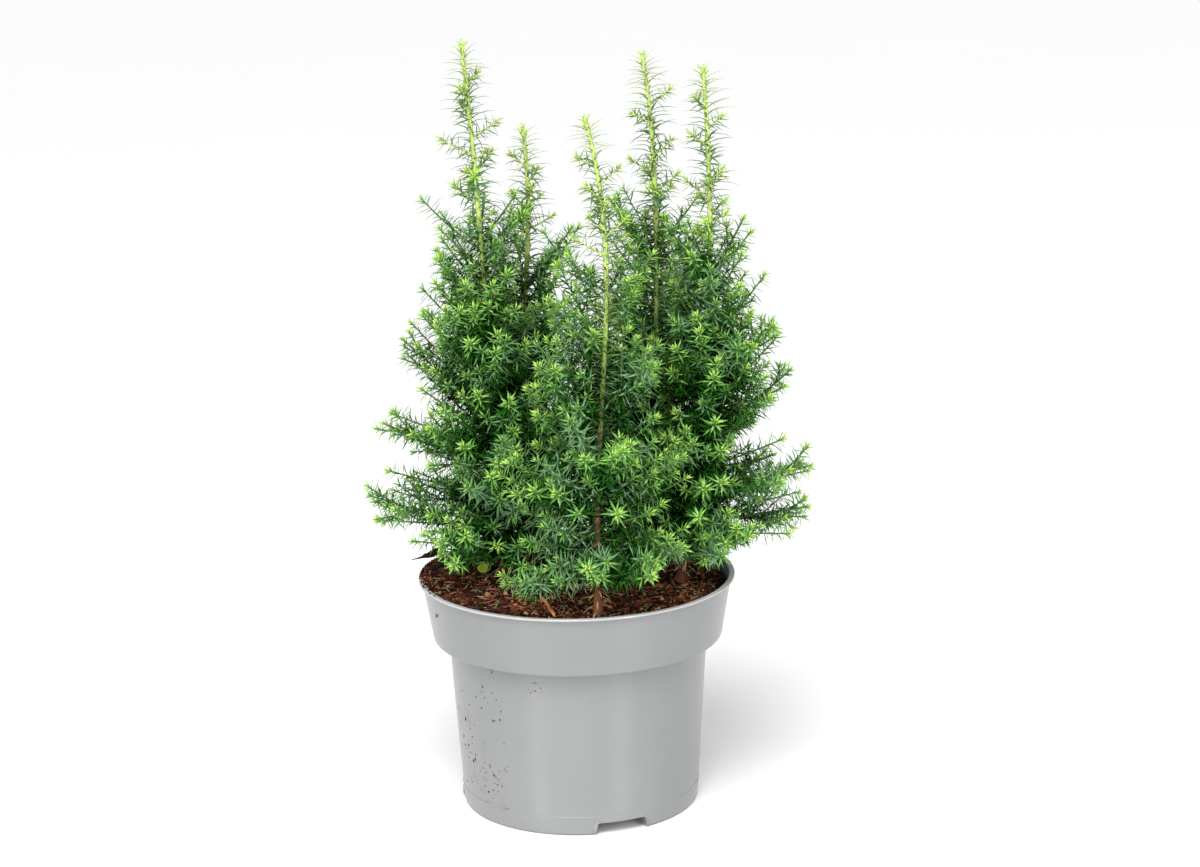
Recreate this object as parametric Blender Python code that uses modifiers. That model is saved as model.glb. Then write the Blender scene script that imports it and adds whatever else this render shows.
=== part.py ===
"""A young needle-leaved conifer of five upright stems in a grey nursery pot filled with bark compost.

Metres, +Z up. The origin is the centre of the pot's flat underside, and the plant's front faces -Y.
Each stem is a tapering trunk that runs whole from the compost to its green tip. It carries one low
bough with a mass of needled shoots at its end, more masses all the way up, and a leader as its top.
"""

import math
import random

import bmesh
import bpy
from mathutils import Matrix, Vector
from mathutils.kdtree import KDTree

# Pot, turned about the origin
ROUND_STEPS = 32
SHARP_ANGLE = math.radians(30)
RIM_RADIUS = 0.0950
POT_HEIGHT = 0.1403
LIP_HEIGHT = 0.0015
LIP_OVERHANG = 0.0021
COLLAR_FOOT_RADIUS = 0.0868
COLLAR_FOOT_HEIGHT = 0.1030
BODY_TOP_RADIUS = 0.0778
BASE_RADIUS = 0.0711
BASE_CHAMFER = 0.0012
WALL = 0.0016
FLOOR = 0.0020

# Drainage channels moulded up into the pot's floor, opening through its foot
CHANNEL_COUNT = 3
CHANNEL_FIRST_AZIMUTH = -70
CHANNEL_WIDTH = 0.034
CHANNEL_HEIGHT = 0.0075
CHANNEL_INNER_RADIUS = 0.042
CHANNEL_DRAFT = 0.88

# Compost
SOIL_LEVEL = 0.1355
SOIL_FLAT_RADIUS = 0.0805
SOIL_EDGE_DROP = 0.0035

CLEARANCE = 0.0003
STEM_POINTS = 60
LINE_POINTS = 9

# Trunks: a foot on the compost, two handles and a tip, as the four points of one Bezier curve
TRUNKS = {
    "left": ((-0.044, 0.002), (-0.047, 0.004, 0.24), (-0.052, 0.010, 0.37), (-0.0600, 0.010, 0.4556)),
    "back_left": ((-0.031, 0.042), (-0.040, 0.040, 0.25), (-0.018, 0.040, 0.33), (-0.0268, 0.040, 0.4034)),
    "front": ((0.0125, -0.073), (0.0100, -0.064, 0.26), (0.0340, -0.048, 0.33), (0.0105, -0.040, 0.4181)),
    "back_right": ((0.043, 0.041), (0.050, 0.040, 0.24), (0.057, 0.040, 0.37), (0.0448, 0.040, 0.4450)),
    "right": ((0.062, -0.001), (0.086, 0.000, 0.23), (0.084, 0.000, 0.36), (0.0790, 0.000, 0.4408)),
}
TRUNK_FOOT_RADIUS = 0.0033
TRUNK_TOP_RADIUS = 0.0013
TRUNK_TAPER = 0.6
TRUNK_FLARE = 0.45
TRUNK_FLARE_HEIGHT = 0.006
TRUNK_FLARE_STEPS = 2
TRUNK_POINTS = 11
TRUNK_ROUNDNESS = 2

# Height at which each trunk ends in its green leader, and how far the leader's lowest side shoots reach
LEADERS = {
    "left": (0.342, 0.026),
    "back_left": (0.318, 0.020),
    "front": (0.322, 0.024),
    "back_right": (0.336, 0.022),
    "right": (0.328, 0.018),
}

# Boughs: trunk, name, height it leaves at, azimuth in degrees, reach from the trunk, rise in degrees
BOUGHS = (
    ("left", "low", 0.172, 172, 0.074, 6),
    ("back_left", "low", 0.162, 132, 0.068, 7),
    ("front", "low", 0.149, 205, 0.055, 7),
    ("back_right", "low", 0.162, 52, 0.066, 7),
    ("right", "low", 0.166, 4, 0.067, 5),
)
BOUGH_SHARE = 0.25
BOUGH_ROOT_RADIUS = 0.0017
BOUGH_TIP_RADIUS = 0.0014
BOUGH_POINTS = 4
BOUGH_ROUNDNESS = 1

# Masses that leave the trunk itself: the same six values
MASSES = (
    ("left", "low_front", 0.160, 238, 0.062, 9),
    ("left", "outer", 0.206, 186, 0.067, 20),
    ("left", "inner", 0.200, 285, 0.054, 24),
    ("left", "upper_outer", 0.236, 170, 0.060, 33),
    ("left", "upper_front", 0.258, 236, 0.052, 42),
    ("left", "top_outer", 0.294, 150, 0.042, 42),
    ("left", "top_inner", 0.326, 0, 0.036, 42),
    ("back_left", "low_back", 0.166, 90, 0.062, 11),
    ("back_left", "outer", 0.190, 165, 0.060, 20),
    ("back_left", "inner", 0.204, 325, 0.048, 26),
    ("back_left", "upper_outer", 0.230, 128, 0.056, 36),
    ("back_left", "upper_back", 0.254, 70, 0.048, 44),
    ("back_left", "top_outer", 0.276, 190, 0.036, 44),
    ("back_left", "top_inner", 0.304, 330, 0.032, 46),
    ("front", "low_right", 0.162, 336, 0.054, 12),
    ("front", "low_front", 0.160, 262, 0.036, 10),
    ("front", "left", 0.190, 184, 0.056, 22),
    ("front", "right", 0.198, 8, 0.052, 24),
    ("front", "middle", 0.210, 296, 0.046, 30),
    ("front", "upper_left", 0.240, 212, 0.050, 40),
    ("front", "upper_right", 0.252, 326, 0.049, 42),
    ("front", "top_left", 0.280, 165, 0.040, 42),
    ("front", "top_right", 0.304, 20, 0.036, 44),
    ("back_right", "low_back", 0.166, 92, 0.062, 11),
    ("back_right", "outer", 0.190, 20, 0.060, 18),
    ("back_right", "inner", 0.204, 215, 0.048, 26),
    ("back_right", "upper_outer", 0.230, 52, 0.056, 36),
    ("back_right", "upper_back", 0.256, 112, 0.049, 44),
    ("back_right", "top_outer", 0.290, 12, 0.042, 42),
    ("back_right", "top_inner", 0.324, 190, 0.035, 44),
    ("right", "low_front", 0.162, 300, 0.062, 9),
    ("right", "outer", 0.186, 352, 0.066, 11),
    ("right", "inner", 0.202, 245, 0.054, 24),
    ("right", "upper_outer", 0.222, 4, 0.058, 32),
    ("right", "upper_front", 0.248, 320, 0.058, 40),
    ("right", "top_inner", 0.286, 190, 0.038, 44),
    ("right", "top_outer", 0.316, 25, 0.030, 50),
)

# Shoots: three-sided stalks whose facets are drawn out into needles of a spacing, length and lean
MAIN_RADIUS = 0.0015
SIDE_RADIUS = 0.0011
SHOOT_TIP_RADIUS = 0.0008
RING_TURN = math.radians(60)
MASS_NEEDLES = (0.0080, 0.0115, math.radians(27))
LEADER_NEEDLES = (0.0060, 0.0078, math.radians(42))
TIP_NEEDLE_SHARE = 0.5
SHORTEST_SHOOT = 0.010
BARE_STALK = 0.003
LIFT_FOR_RISE = 0.0035
SIDE_LIFT = 0.09

# Side shoots of a mass, and of a leader
GOLDEN_ANGLE = math.radians(137.5)
SIDE_LEAVE = math.radians(40)
SIDE_FLATNESS = 0.55
SIDE_STEP = 0.0105
SIDE_SHARE = 0.56
SIDE_FALL = 0.62
LEADER_SIDE_STEP = 0.0100
LEADER_SIDE_LEAVE = math.radians(60)
LEADER_BARE_TOP = 0.022
SIDE_JITTER = 0.14

# How far foliage keeps from the border of its own space, from limbs and from the ground
SPACE_MARGIN = 0.0009
STALK_MARGIN = 0.0022
LIMB_MARGIN = 0.0014
GROUND_MARGIN = 0.0016
AXIS_STEP = 0.003
LIMB_SAMPLES = 120
NEEDLE_SAMPLES = (0.25, 0.5, 0.75)

COLOURS = {
    "pot": ((0.42, 0.43, 0.43), 0.42),
    "compost": ((0.085, 0.040, 0.024), 0.95),
    "bark": ((0.20, 0.095, 0.045), 0.85),
    "needles": ((0.075, 0.20, 0.045), 0.55),
    "leader_needles": ((0.22, 0.40, 0.07), 0.55),
}


class Path:
    """A line through space that a limb or shoot follows, measured by its length."""

    def __init__(self, points):
        self.points = [Vector(point) for point in points]
        self.marks = [0.0]
        for before, after in zip(self.points, self.points[1:]):
            self.marks.append(self.marks[-1] + (after - before).length)
        self.length = self.marks[-1]
        heading = (self.points[-1] - self.points[0]).normalized()
        self.reference = Vector((0, 0, 1)) if abs(heading.z) < 0.8 else Vector((1, 0, 0))

    def at(self, distance):
        """The point and the unit direction at a distance along the line."""
        index = 1
        while index < len(self.marks) - 1 and self.marks[index] < distance:
            index += 1
        before, after = self.points[index - 1], self.points[index]
        span = self.marks[index] - self.marks[index - 1]
        share = (distance - self.marks[index - 1]) / span
        return before.lerp(after, share), (after - before).normalized()

    def cross_axes(self, direction):
        """Two unit vectors square to the line."""
        side = self.reference.cross(direction).normalized()
        return side, direction.cross(side)

    def place(self, local):
        """A point of a straight piece that stands on the origin along +Z, bent onto this line."""
        point, direction = self.at(local.z)
        side, up = self.cross_axes(direction)
        return point + side * local.x + up * local.y

    def between(self, start, end, count):
        """The stretch from one distance to another as a path of its own."""
        return Path([self.at(start + (end - start) * i / (count - 1))[0] for i in range(count)])


def bezier(foot, low, high, tip):
    """Points along one cubic Bezier curve."""
    points = []
    for i in range(STEM_POINTS + 1):
        t = i / STEM_POINTS
        u = 1 - t
        points.append(foot * u**3 + low * (3 * u * u * t) + high * (3 * u * t * t) + tip * t**3)
    return points


def rising_path(root, direction, length, lift):
    """A line that leaves root along direction and curves upwards by lift times its length."""
    steps = [length * i / (LINE_POINTS - 1) for i in range(LINE_POINTS)]
    return Path([root + direction * s + Vector((0, 0, lift * s * s / length)) for s in steps])


def compass(azimuth, rise):
    """The unit vector at an azimuth from +X towards +Y and a rise, both in degrees."""
    a, e = math.radians(azimuth), math.radians(rise)
    return Vector((math.cos(a) * math.cos(e), math.sin(a) * math.cos(e), math.sin(e)))


def clear_scene():
    for old in list(bpy.data.objects):
        bpy.data.objects.remove(old)


def new_collection(name, hidden=False):
    collection = bpy.data.collections.new(name)
    bpy.context.scene.collection.children.link(collection)
    collection.hide_render = hidden
    return collection


def make_material(name):
    (red, green, blue), roughness = COLOURS[name]
    material = bpy.data.materials.new(name)
    material.use_nodes = True
    shader = material.node_tree.nodes["Principled BSDF"]
    shader.inputs["Base Color"].default_value = (red, green, blue, 1)
    shader.inputs["Roughness"].default_value = roughness
    shader.inputs["Metallic"].default_value = 0.0
    return material


def object_from(bm, name, collection, material=None):
    """The bmesh as an object in a collection."""
    mesh = bpy.data.meshes.new(name)
    bm.to_mesh(mesh)
    bm.free()
    made = bpy.data.objects.new(name, mesh)
    collection.objects.link(made)
    if material:
        mesh.materials.append(material)
    return made


def turned(name, profile, collection, material):
    """A solid turned about the Z axis from (radius, height) points that run down its outer side."""
    mesh = bpy.data.meshes.new(name)
    bm = bmesh.new()
    corners = [bm.verts.new((radius, 0, height)) for radius, height in profile]
    for before, after in zip(corners, corners[1:]):
        bm.edges.new((before, after))
    bm.to_mesh(mesh)
    bm.free()
    made = bpy.data.objects.new(name, mesh)
    collection.objects.link(made)
    mesh.materials.append(material)
    screw = made.modifiers.new("turn", "SCREW")
    screw.steps = screw.render_steps = ROUND_STEPS
    screw.use_merge_vertices = True
    screw.merge_threshold = 0.00001
    return made


def baked(made):
    """Replaces an object's modifiers by the mesh that they give."""
    graph = bpy.context.evaluated_depsgraph_get()
    mesh = bpy.data.meshes.new_from_object(made.evaluated_get(graph))
    made.modifiers.clear()
    made.data = mesh
    return made


def collar_radius(height):
    """The outer radius of the collar at a height."""
    top_height, top_radius = POT_HEIGHT - LIP_HEIGHT, RIM_RADIUS - LIP_OVERHANG
    share = (height - COLLAR_FOOT_HEIGHT) / (top_height - COLLAR_FOOT_HEIGHT)
    return COLLAR_FOOT_RADIUS + (top_radius - COLLAR_FOOT_RADIUS) * share


def inner_collar_radius(height):
    """The inner radius of the collar at a height."""
    foot = COLLAR_FOOT_HEIGHT + WALL
    share = (height - foot) / (POT_HEIGHT - foot)
    foot_radius, top_radius = COLLAR_FOOT_RADIUS - WALL, RIM_RADIUS - LIP_OVERHANG - WALL
    return foot_radius + (top_radius - foot_radius) * share


def body_radius(height):
    """The outer radius of the pot below its collar."""
    return BASE_RADIUS + (BODY_TOP_RADIUS - BASE_RADIUS) * height / COLLAR_FOOT_HEIGHT


def channel_block(name, collection, grow, outer_radius, azimuth, below):
    """A drafted block along one drainage channel, made larger all round by grow."""
    bm = bmesh.new()
    inner = CHANNEL_INNER_RADIUS - grow
    length, width = outer_radius - inner, CHANNEL_WIDTH + 2 * grow
    height = CHANNEL_HEIGHT + grow + below
    bmesh.ops.create_cube(bm, size=1.0)
    for corner in bm.verts:
        narrowed = CHANNEL_DRAFT if corner.co.z > 0 else 1.0
        corner.co.x = inner + (corner.co.x + 0.5) * length
        corner.co.y *= width * narrowed
        corner.co.z = (corner.co.z + 0.5) * height - below
    made = object_from(bm, name, collection)
    made.data.transform(Matrix.Rotation(math.radians(azimuth), 4, "Z"))
    made.hide_render = True
    made.display_type = "WIRE"
    return made


def smooth_round(made):
    """Shades an object smooth, with its real edges kept sharp."""
    made.data.shade_smooth()
    made.data.set_sharp_from_angle(angle=SHARP_ANGLE)
    return made


def join_or_cut(target, tool, operation):
    modifier = target.modifiers.new(tool.name, "BOOLEAN")
    modifier.operation = operation
    modifier.object = tool
    modifier.solver = "EXACT"


def make_pot(parts, cutters):
    """The nursery pot: lip, tapered collar, shoulder, body and a flat floor with drainage channels."""
    lip_foot = POT_HEIGHT - LIP_HEIGHT
    shoulder = COLLAR_FOOT_HEIGHT + WALL
    profile = (
        (0, FLOOR),
        (body_radius(FLOOR) - WALL, FLOOR),
        (body_radius(shoulder) - WALL, shoulder),
        (inner_collar_radius(shoulder), shoulder),
        (inner_collar_radius(POT_HEIGHT), POT_HEIGHT),
        (RIM_RADIUS, POT_HEIGHT),
        (RIM_RADIUS, lip_foot),
        (collar_radius(lip_foot), lip_foot),
        (COLLAR_FOOT_RADIUS, COLLAR_FOOT_HEIGHT),
        (BODY_TOP_RADIUS, COLLAR_FOOT_HEIGHT),
        (BASE_RADIUS, BASE_CHAMFER),
        (BASE_RADIUS - BASE_CHAMFER, 0),
        (0, 0),
    )
    pot = turned("pot", profile, parts, make_material("pot"))
    for k in range(CHANNEL_COUNT):
        azimuth = CHANNEL_FIRST_AZIMUTH + 360 / CHANNEL_COUNT * k
        wall_middle = body_radius(CHANNEL_HEIGHT) - WALL / 2
        roof = channel_block(f"channel_roof_{k}", cutters, WALL, wall_middle, azimuth, -FLOOR / 2)
        hollow = channel_block(f"channel_{k}", cutters, 0, RIM_RADIUS, azimuth, FLOOR)
        join_or_cut(pot, roof, "UNION")
        join_or_cut(pot, hollow, "DIFFERENCE")
    return smooth_round(baked(pot))


def make_soil(parts, cutters):
    """The compost that fills the pot, level where the trunks stand and lower at the wall."""
    shoulder = COLLAR_FOOT_HEIGHT + WALL
    gap = WALL + CLEARANCE
    edge = SOIL_LEVEL - SOIL_EDGE_DROP
    profile = (
        (0, SOIL_LEVEL),
        (SOIL_FLAT_RADIUS, SOIL_LEVEL),
        (inner_collar_radius(edge) - CLEARANCE, edge),
        (inner_collar_radius(shoulder) - CLEARANCE, shoulder + CLEARANCE),
        (body_radius(shoulder) - gap, shoulder + CLEARANCE),
        (body_radius(FLOOR) - gap, FLOOR + CLEARANCE),
        (0, FLOOR + CLEARANCE),
    )
    soil = turned("compost", profile, parts, make_material("compost"))
    for k in range(CHANNEL_COUNT):
        azimuth = CHANNEL_FIRST_AZIMUTH + 360 / CHANNEL_COUNT * k
        roof = channel_block(f"roof_room_{k}", cutters, gap, RIM_RADIUS, azimuth, 0)
        join_or_cut(soil, roof, "DIFFERENCE")
    return smooth_round(baked(soil))


def trunk_line(name):
    """The whole line of one stem, from its foot on the compost to the leader's tip."""
    foot, low, high, tip = TRUNKS[name]
    start = Vector((foot[0], foot[1], SOIL_LEVEL + CLEARANCE))
    return Path(bezier(start, Vector(low), Vector(high), Vector(tip)))


def distance_at_height(line, height):
    """How far along a line it first reaches a height."""
    for mark, point in zip(line.marks, line.points):
        if point.z >= height:
            return mark
    return line.length


def trunk_radius(share):
    """A trunk's radius without its flare, at a share of the way from its foot to the leader."""
    return TRUNK_FOOT_RADIUS + (TRUNK_TOP_RADIUS - TRUNK_FOOT_RADIUS) * share**TRUNK_TAPER


def tube(name, points, radii, roundness, collection, material):
    """A tapering limb as a curve with filled caps."""
    curve = bpy.data.curves.new(name, "CURVE")
    curve.dimensions = "3D"
    curve.bevel_depth = 1.0
    curve.bevel_resolution = roundness
    curve.use_fill_caps = True
    spline = curve.splines.new("POLY")
    spline.points.add(len(points) - 1)
    for control, point, radius in zip(spline.points, points, radii):
        control.co = (*point, 1)
        control.radius = radius
    curve.materials.append(material)
    made = bpy.data.objects.new(name, curve)
    collection.objects.link(made)
    return made


def make_trunk(name, line, top, parts, material):
    """A trunk from its flat cut on the compost, with a root flare, up to its leader."""
    foot = line.points[0]
    points, radii = [], []
    for i in range(TRUNK_FLARE_STEPS):
        share = i / TRUNK_FLARE_STEPS
        points.append(foot + Vector((0, 0, TRUNK_FLARE_HEIGHT * share)))
        radii.append(TRUNK_FOOT_RADIUS * (1 + TRUNK_FLARE * (1 - share) ** 2))
    for i in range(TRUNK_POINTS):
        share = i / (TRUNK_POINTS - 1)
        distance = TRUNK_FLARE_HEIGHT + (top - TRUNK_FLARE_HEIGHT) * share
        points.append(line.at(distance)[0])
        radii.append(trunk_radius(share))
    return tube(f"trunk_{name}", points, radii, TRUNK_ROUNDNESS, parts, material)


def make_bough(name, wood, parts, material):
    """A short tapering limb from the trunk to where it enters its mass."""
    radii = []
    for i in range(BOUGH_POINTS):
        share = i / (BOUGH_POINTS - 1)
        radii.append(BOUGH_ROOT_RADIUS + (BOUGH_TIP_RADIUS - BOUGH_ROOT_RADIUS) * share)
    return tube(f"bough_{name}", wood.points, radii, BOUGH_ROUNDNESS, parts, material)


def limb_start(line, top, height, azimuth, rise, radius):
    """Where a limb's flat root meets the trunk, clear of it, and the limb's direction."""
    distance = distance_at_height(line, height)
    centre, trunk_direction = line.at(distance)
    direction = compass(azimuth, rise)
    along = direction.dot(trunk_direction)
    across = math.sqrt(1 - along * along)
    trunk = trunk_radius(distance / top)
    stand_off = (trunk + CLEARANCE + radius * abs(along)) / across
    return centre + direction * stand_off, direction


class Spaces:
    """Shares the crown's room out: a point belongs to the mass whose line is nearest."""

    def __init__(self, lines, limbs):
        self.owners = []
        points = []
        for name, line in lines.items():
            for i in range(int(line.length / AXIS_STEP) + 1):
                points.append(line.at(min(line.length, i * AXIS_STEP))[0])
                self.owners.append(name)
        self.tree = KDTree(len(points))
        for i, point in enumerate(points):
            self.tree.insert(point, i)
        self.tree.balance()
        self.limb_tree = KDTree(LIMB_SAMPLES * len(limbs))
        self.limb_sizes = []
        for line, root_radius, tip_radius in limbs:
            for i in range(LIMB_SAMPLES):
                share = i / (LIMB_SAMPLES - 1)
                self.limb_tree.insert(line.at(line.length * share)[0], len(self.limb_sizes))
                self.limb_sizes.append(root_radius + (tip_radius - root_radius) * share)
        self.limb_tree.balance()

    def clears_limbs(self, point):
        """Whether a point keeps its distance from every trunk and bough."""
        _, limb, gap = self.limb_tree.find(point)
        return gap > self.limb_sizes[limb] + LIMB_MARGIN

    def holds(self, owner, point, margin):
        """Whether a point lies in its owner's space, clear of every limb and of the ground."""
        inside_rim = math.hypot(point.x, point.y) < RIM_RADIUS - 2 * LIP_OVERHANG - WALL
        ground = SOIL_LEVEL if inside_rim else POT_HEIGHT
        if point.z < ground + GROUND_MARGIN or not self.clears_limbs(point):
            return False
        _, nearest, own = self.tree.find(point)
        if self.owners[nearest] != owner:
            return False
        _, _, other = self.tree.find(point, filter=lambda i: self.owners[i] != owner)
        return (other - own) / 2 > margin


class Shoots:
    """The shoots of one mass, which share its space as the masses share the crown's."""

    def __init__(self, paths):
        self.owners = []
        points = []
        for i, path in enumerate(paths):
            for k in range(int(path.length / AXIS_STEP) + 1):
                points.append(path.at(k * AXIS_STEP)[0])
                self.owners.append(i)
        self.tree = KDTree(len(points))
        for i, point in enumerate(points):
            self.tree.insert(point, i)
        self.tree.balance()

    def nearest(self, point):
        """Which shoot is nearest to a point."""
        return self.owners[self.tree.find(point)[1]]


def needle_tip(root, distance, path, size, lean):
    """Where the needle that stands on one facet of a bent stalk ends."""
    axis_point, direction = path.at(distance)
    outward = root - axis_point
    outward = (outward - direction * outward.dot(direction)).normalized()
    return root + (outward * math.cos(lean) + direction * math.sin(lean)) * size


def needled_shoot(name, path, root_radius, needles, has_room, collection):
    """One shoot: a three-sided stalk bent onto its path, its facets drawn out into needles."""
    spacing, size, lean = needles
    rings = max(2, round(path.length / spacing))
    step = path.length / rings
    bm = bmesh.new()
    bmesh.ops.create_cone(
        bm,
        cap_ends=True,
        segments=3,
        radius1=root_radius,
        radius2=SHOOT_TIP_RADIUS,
        depth=path.length,
        matrix=Matrix.Translation((0, 0, path.length / 2)),
    )
    tall = [edge for edge in bm.edges if abs(edge.verts[0].co.z - edge.verts[1].co.z) > step]
    bmesh.ops.subdivide_edges(bm, edges=tall, cuts=rings - 1, use_grid_fill=True)
    facets = [(face, face.calc_center_median().z) for face in bm.faces]
    for corner in bm.verts:
        twist = Matrix.Rotation(RING_TURN * corner.co.z / step, 3, "Z")
        corner.co = path.place(twist @ corner.co)
    for face, distance in facets:
        if distance < BARE_STALK:
            continue
        root = face.calc_center_median()
        if distance > path.length - step / 4:
            tip = root + path.at(path.length)[1] * size * TIP_NEEDLE_SHARE
        else:
            tip = needle_tip(root, distance, path, size, lean)
        if has_room(root, tip):
            bmesh.ops.poke(bm, faces=[face])["verts"][0].co = tip
    return object_from(bm, name, collection)


def kept_length(path, owner, spaces):
    """How much of a side shoot's path stays in its owner's space."""
    steps = 2 * LINE_POINTS
    for i in range(steps + 1):
        distance = path.length * i / steps
        point = path.at(distance)[0]
        leaves = distance > SHORTEST_SHOOT / 2 and not spaces.holds(owner, point, STALK_MARGIN)
        if leaves or not spaces.clears_limbs(point):
            return path.length * (i - 1) / steps
    return path.length


def side_paths(main, owner, spaces, rule, chance):
    """The side shoots' paths off a main shoot, turned by the golden angle from one to the next."""
    paths = []
    turn = chance.uniform(0, math.tau)
    distance = rule["first"]
    while distance < main.length - rule["bare_top"]:
        turn += GOLDEN_ANGLE * (1 + chance.uniform(-SIDE_JITTER, SIDE_JITTER) / 2)
        centre, direction = main.at(distance)
        side, up = main.cross_axes(direction)
        outward = side * math.cos(turn) + up * math.sin(turn)
        leave = rule["leave"] * (1 + chance.uniform(-SIDE_JITTER, SIDE_JITTER))
        heading = direction * math.cos(leave) + outward * math.sin(leave)
        heading.z = direction.z + (heading.z - direction.z) * rule["flat"]
        heading.normalize()
        length = rule["length"](distance) * (1 + chance.uniform(-SIDE_JITTER, SIDE_JITTER))
        path = rising_path(centre, heading, length, SIDE_LIFT)
        kept = kept_length(path, owner, spaces)
        if kept >= SHORTEST_SHOOT:
            paths.append(path.between(0, kept, LINE_POINTS))
        distance += rule["step"] * (1 + chance.uniform(-SIDE_JITTER, SIDE_JITTER))
    return paths


def shells_of(bm):
    """The groups of faces that hang together by their edges."""
    shells, seen = [], set()
    for first in bm.faces:
        if first in seen:
            continue
        seen.add(first)
        shell, waiting = [], [first]
        while waiting:
            face = waiting.pop()
            shell.append(face)
            for neighbour in (near for edge in face.edges for near in edge.link_faces):
                if neighbour not in seen:
                    seen.add(neighbour)
                    waiting.append(neighbour)
        shells.append(shell)
    return shells


def keep_outer_shell(made):
    """Fills the pockets that crossing needles seal and drops loose scraps."""
    bm = bmesh.new()
    bm.from_mesh(made.data)
    shells = sorted(shells_of(bm), key=len)
    bmesh.ops.delete(bm, geom=[face for shell in shells[:-1] for face in shell], context="FACES")
    bm.to_mesh(made.data)
    bm.free()


def fused(base, helpers, name, material):
    """One solid of a main shoot and the collection of its side shoots."""
    modifier = base.modifiers.new("fuse", "BOOLEAN")
    modifier.operation = "UNION"
    modifier.operand_type = "COLLECTION"
    modifier.collection = helpers
    modifier.solver = "MANIFOLD"
    baked(base)
    keep_outer_shell(base)
    for helper in list(helpers.objects):
        bpy.data.objects.remove(helper)
    bpy.data.collections.remove(helpers)
    base.name = name
    base.data.materials.clear()
    base.data.materials.append(material)
    return base


def make_mass(name, main, root_radius, rule, seed, spaces, parts, material):
    """A mass of foliage: its main shoot and the side shoots that stay in its space."""
    paths = [main, *side_paths(main, name, spaces, rule, random.Random(seed))]
    shoots = Shoots(paths)
    helpers = new_collection(f"{name}_side")
    made = []
    for i, path in enumerate(paths):

        def has_room(root, tip, own=i):
            if shoots.nearest(tip) != own or not spaces.holds(name, tip, SPACE_MARGIN):
                return False
            return all(spaces.clears_limbs(root.lerp(tip, share)) for share in NEEDLE_SAMPLES)

        collection, radius = (helpers, SIDE_RADIUS) if i else (parts, root_radius)
        shoot = needled_shoot(f"{name}_{i}", path, radius, rule["needles"], has_room, collection)
        made.append(shoot)
    return fused(made[0], helpers, name, material)


def mass_rule(reach, main_length):
    """How the side shoots of a mass shorten towards its tip."""

    def length(distance):
        return reach * SIDE_SHARE * (1 - SIDE_FALL * distance / main_length)

    return {
        "needles": MASS_NEEDLES,
        "first": SIDE_STEP * 0.5,
        "step": SIDE_STEP,
        "leave": SIDE_LEAVE,
        "flat": SIDE_FLATNESS,
        "bare_top": SIDE_STEP,
        "length": length,
    }


def leader_rule(reach, main_length):
    """How the side shoots of a leader shorten towards its tip."""

    def length(distance):
        return reach + (SHORTEST_SHOOT - reach) * distance / main_length

    return {
        "needles": LEADER_NEEDLES,
        "first": LEADER_SIDE_STEP * 0.5,
        "step": LEADER_SIDE_STEP,
        "leave": LEADER_SIDE_LEAVE,
        "flat": 1.0,
        "bare_top": LEADER_BARE_TOP,
        "length": length,
    }


def main():
    clear_scene()
    parts = new_collection("potted_conifer")
    cutters = new_collection("cutters", hidden=True)
    make_pot(parts, cutters)
    make_soil(parts, cutters)
    bark, needles = make_material("bark"), make_material("needles")
    leader_needles = make_material("leader_needles")

    lines, tops, limbs, mains, rules = {}, {}, [], {}, {}
    for name in TRUNKS:
        lines[name] = trunk_line(name)
        tops[name] = distance_at_height(lines[name], LEADERS[name][0])
        make_trunk(name, lines[name], tops[name], parts, bark)
        wood = lines[name].between(0, tops[name], LIMB_SAMPLES)
        limbs.append((wood, TRUNK_FOOT_RADIUS, TRUNK_TOP_RADIUS))
        leader = f"leader_{name}"
        mains[leader] = lines[name].between(tops[name] + CLEARANCE, lines[name].length, LINE_POINTS)
        rules[leader] = leader_rule(LEADERS[name][1], mains[leader].length)

    axes = dict(mains)
    for trunk, side, height, azimuth, reach, rise in BOUGHS:
        name = f"{trunk}_{side}"
        root, direction = limb_start(lines[trunk], tops[trunk], height, azimuth, rise, BOUGH_ROOT_RADIUS)
        whole = rising_path(root, direction, reach, LIFT_FOR_RISE * rise)
        wood = whole.between(0, whole.length * BOUGH_SHARE, BOUGH_POINTS)
        make_bough(name, wood, parts, bark)
        limbs.append((wood, BOUGH_ROOT_RADIUS, BOUGH_TIP_RADIUS))
        mass = f"mass_{name}"
        mains[mass] = whole.between(wood.length + CLEARANCE, whole.length, LINE_POINTS)
        axes[mass] = whole
        rules[mass] = mass_rule(reach, mains[mass].length)
    for trunk, side, height, azimuth, reach, rise in MASSES:
        mass = f"mass_{trunk}_{side}"
        root, direction = limb_start(lines[trunk], tops[trunk], height, azimuth, rise, MAIN_RADIUS)
        mains[mass] = rising_path(root, direction, reach, LIFT_FOR_RISE * rise)
        axes[mass] = mains[mass]
        rules[mass] = mass_rule(reach, mains[mass].length)

    spaces = Spaces(axes, limbs)
    for seed, (name, main_path) in enumerate(mains.items()):
        is_leader = name.startswith("leader")
        root_radius = TRUNK_TOP_RADIUS if is_leader else MAIN_RADIUS
        material = leader_needles if is_leader else needles
        make_mass(name, main_path, root_radius, rules[name], seed, spaces, parts, material)


main()
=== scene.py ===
"""A young needle-leaved conifer in a grey nursery pot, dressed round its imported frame.

Five upright stems stand in bark compost. Each keeps the line that its solid has, and its masses and
leader grow by the same rule as the solids, carried on to finer shoots that bear every needle.
Metres, +Z up, and the plant's front faces -Y.
"""

import functools
import math
import random
from collections import defaultdict
from typing import Callable, NamedTuple

import bmesh
import bpy
import numpy as np
from bpy.props import FloatProperty, FloatVectorProperty, IntProperty, PointerProperty
from mathutils import Matrix, Vector, noise
from mathutils.kdtree import KDTree


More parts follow.
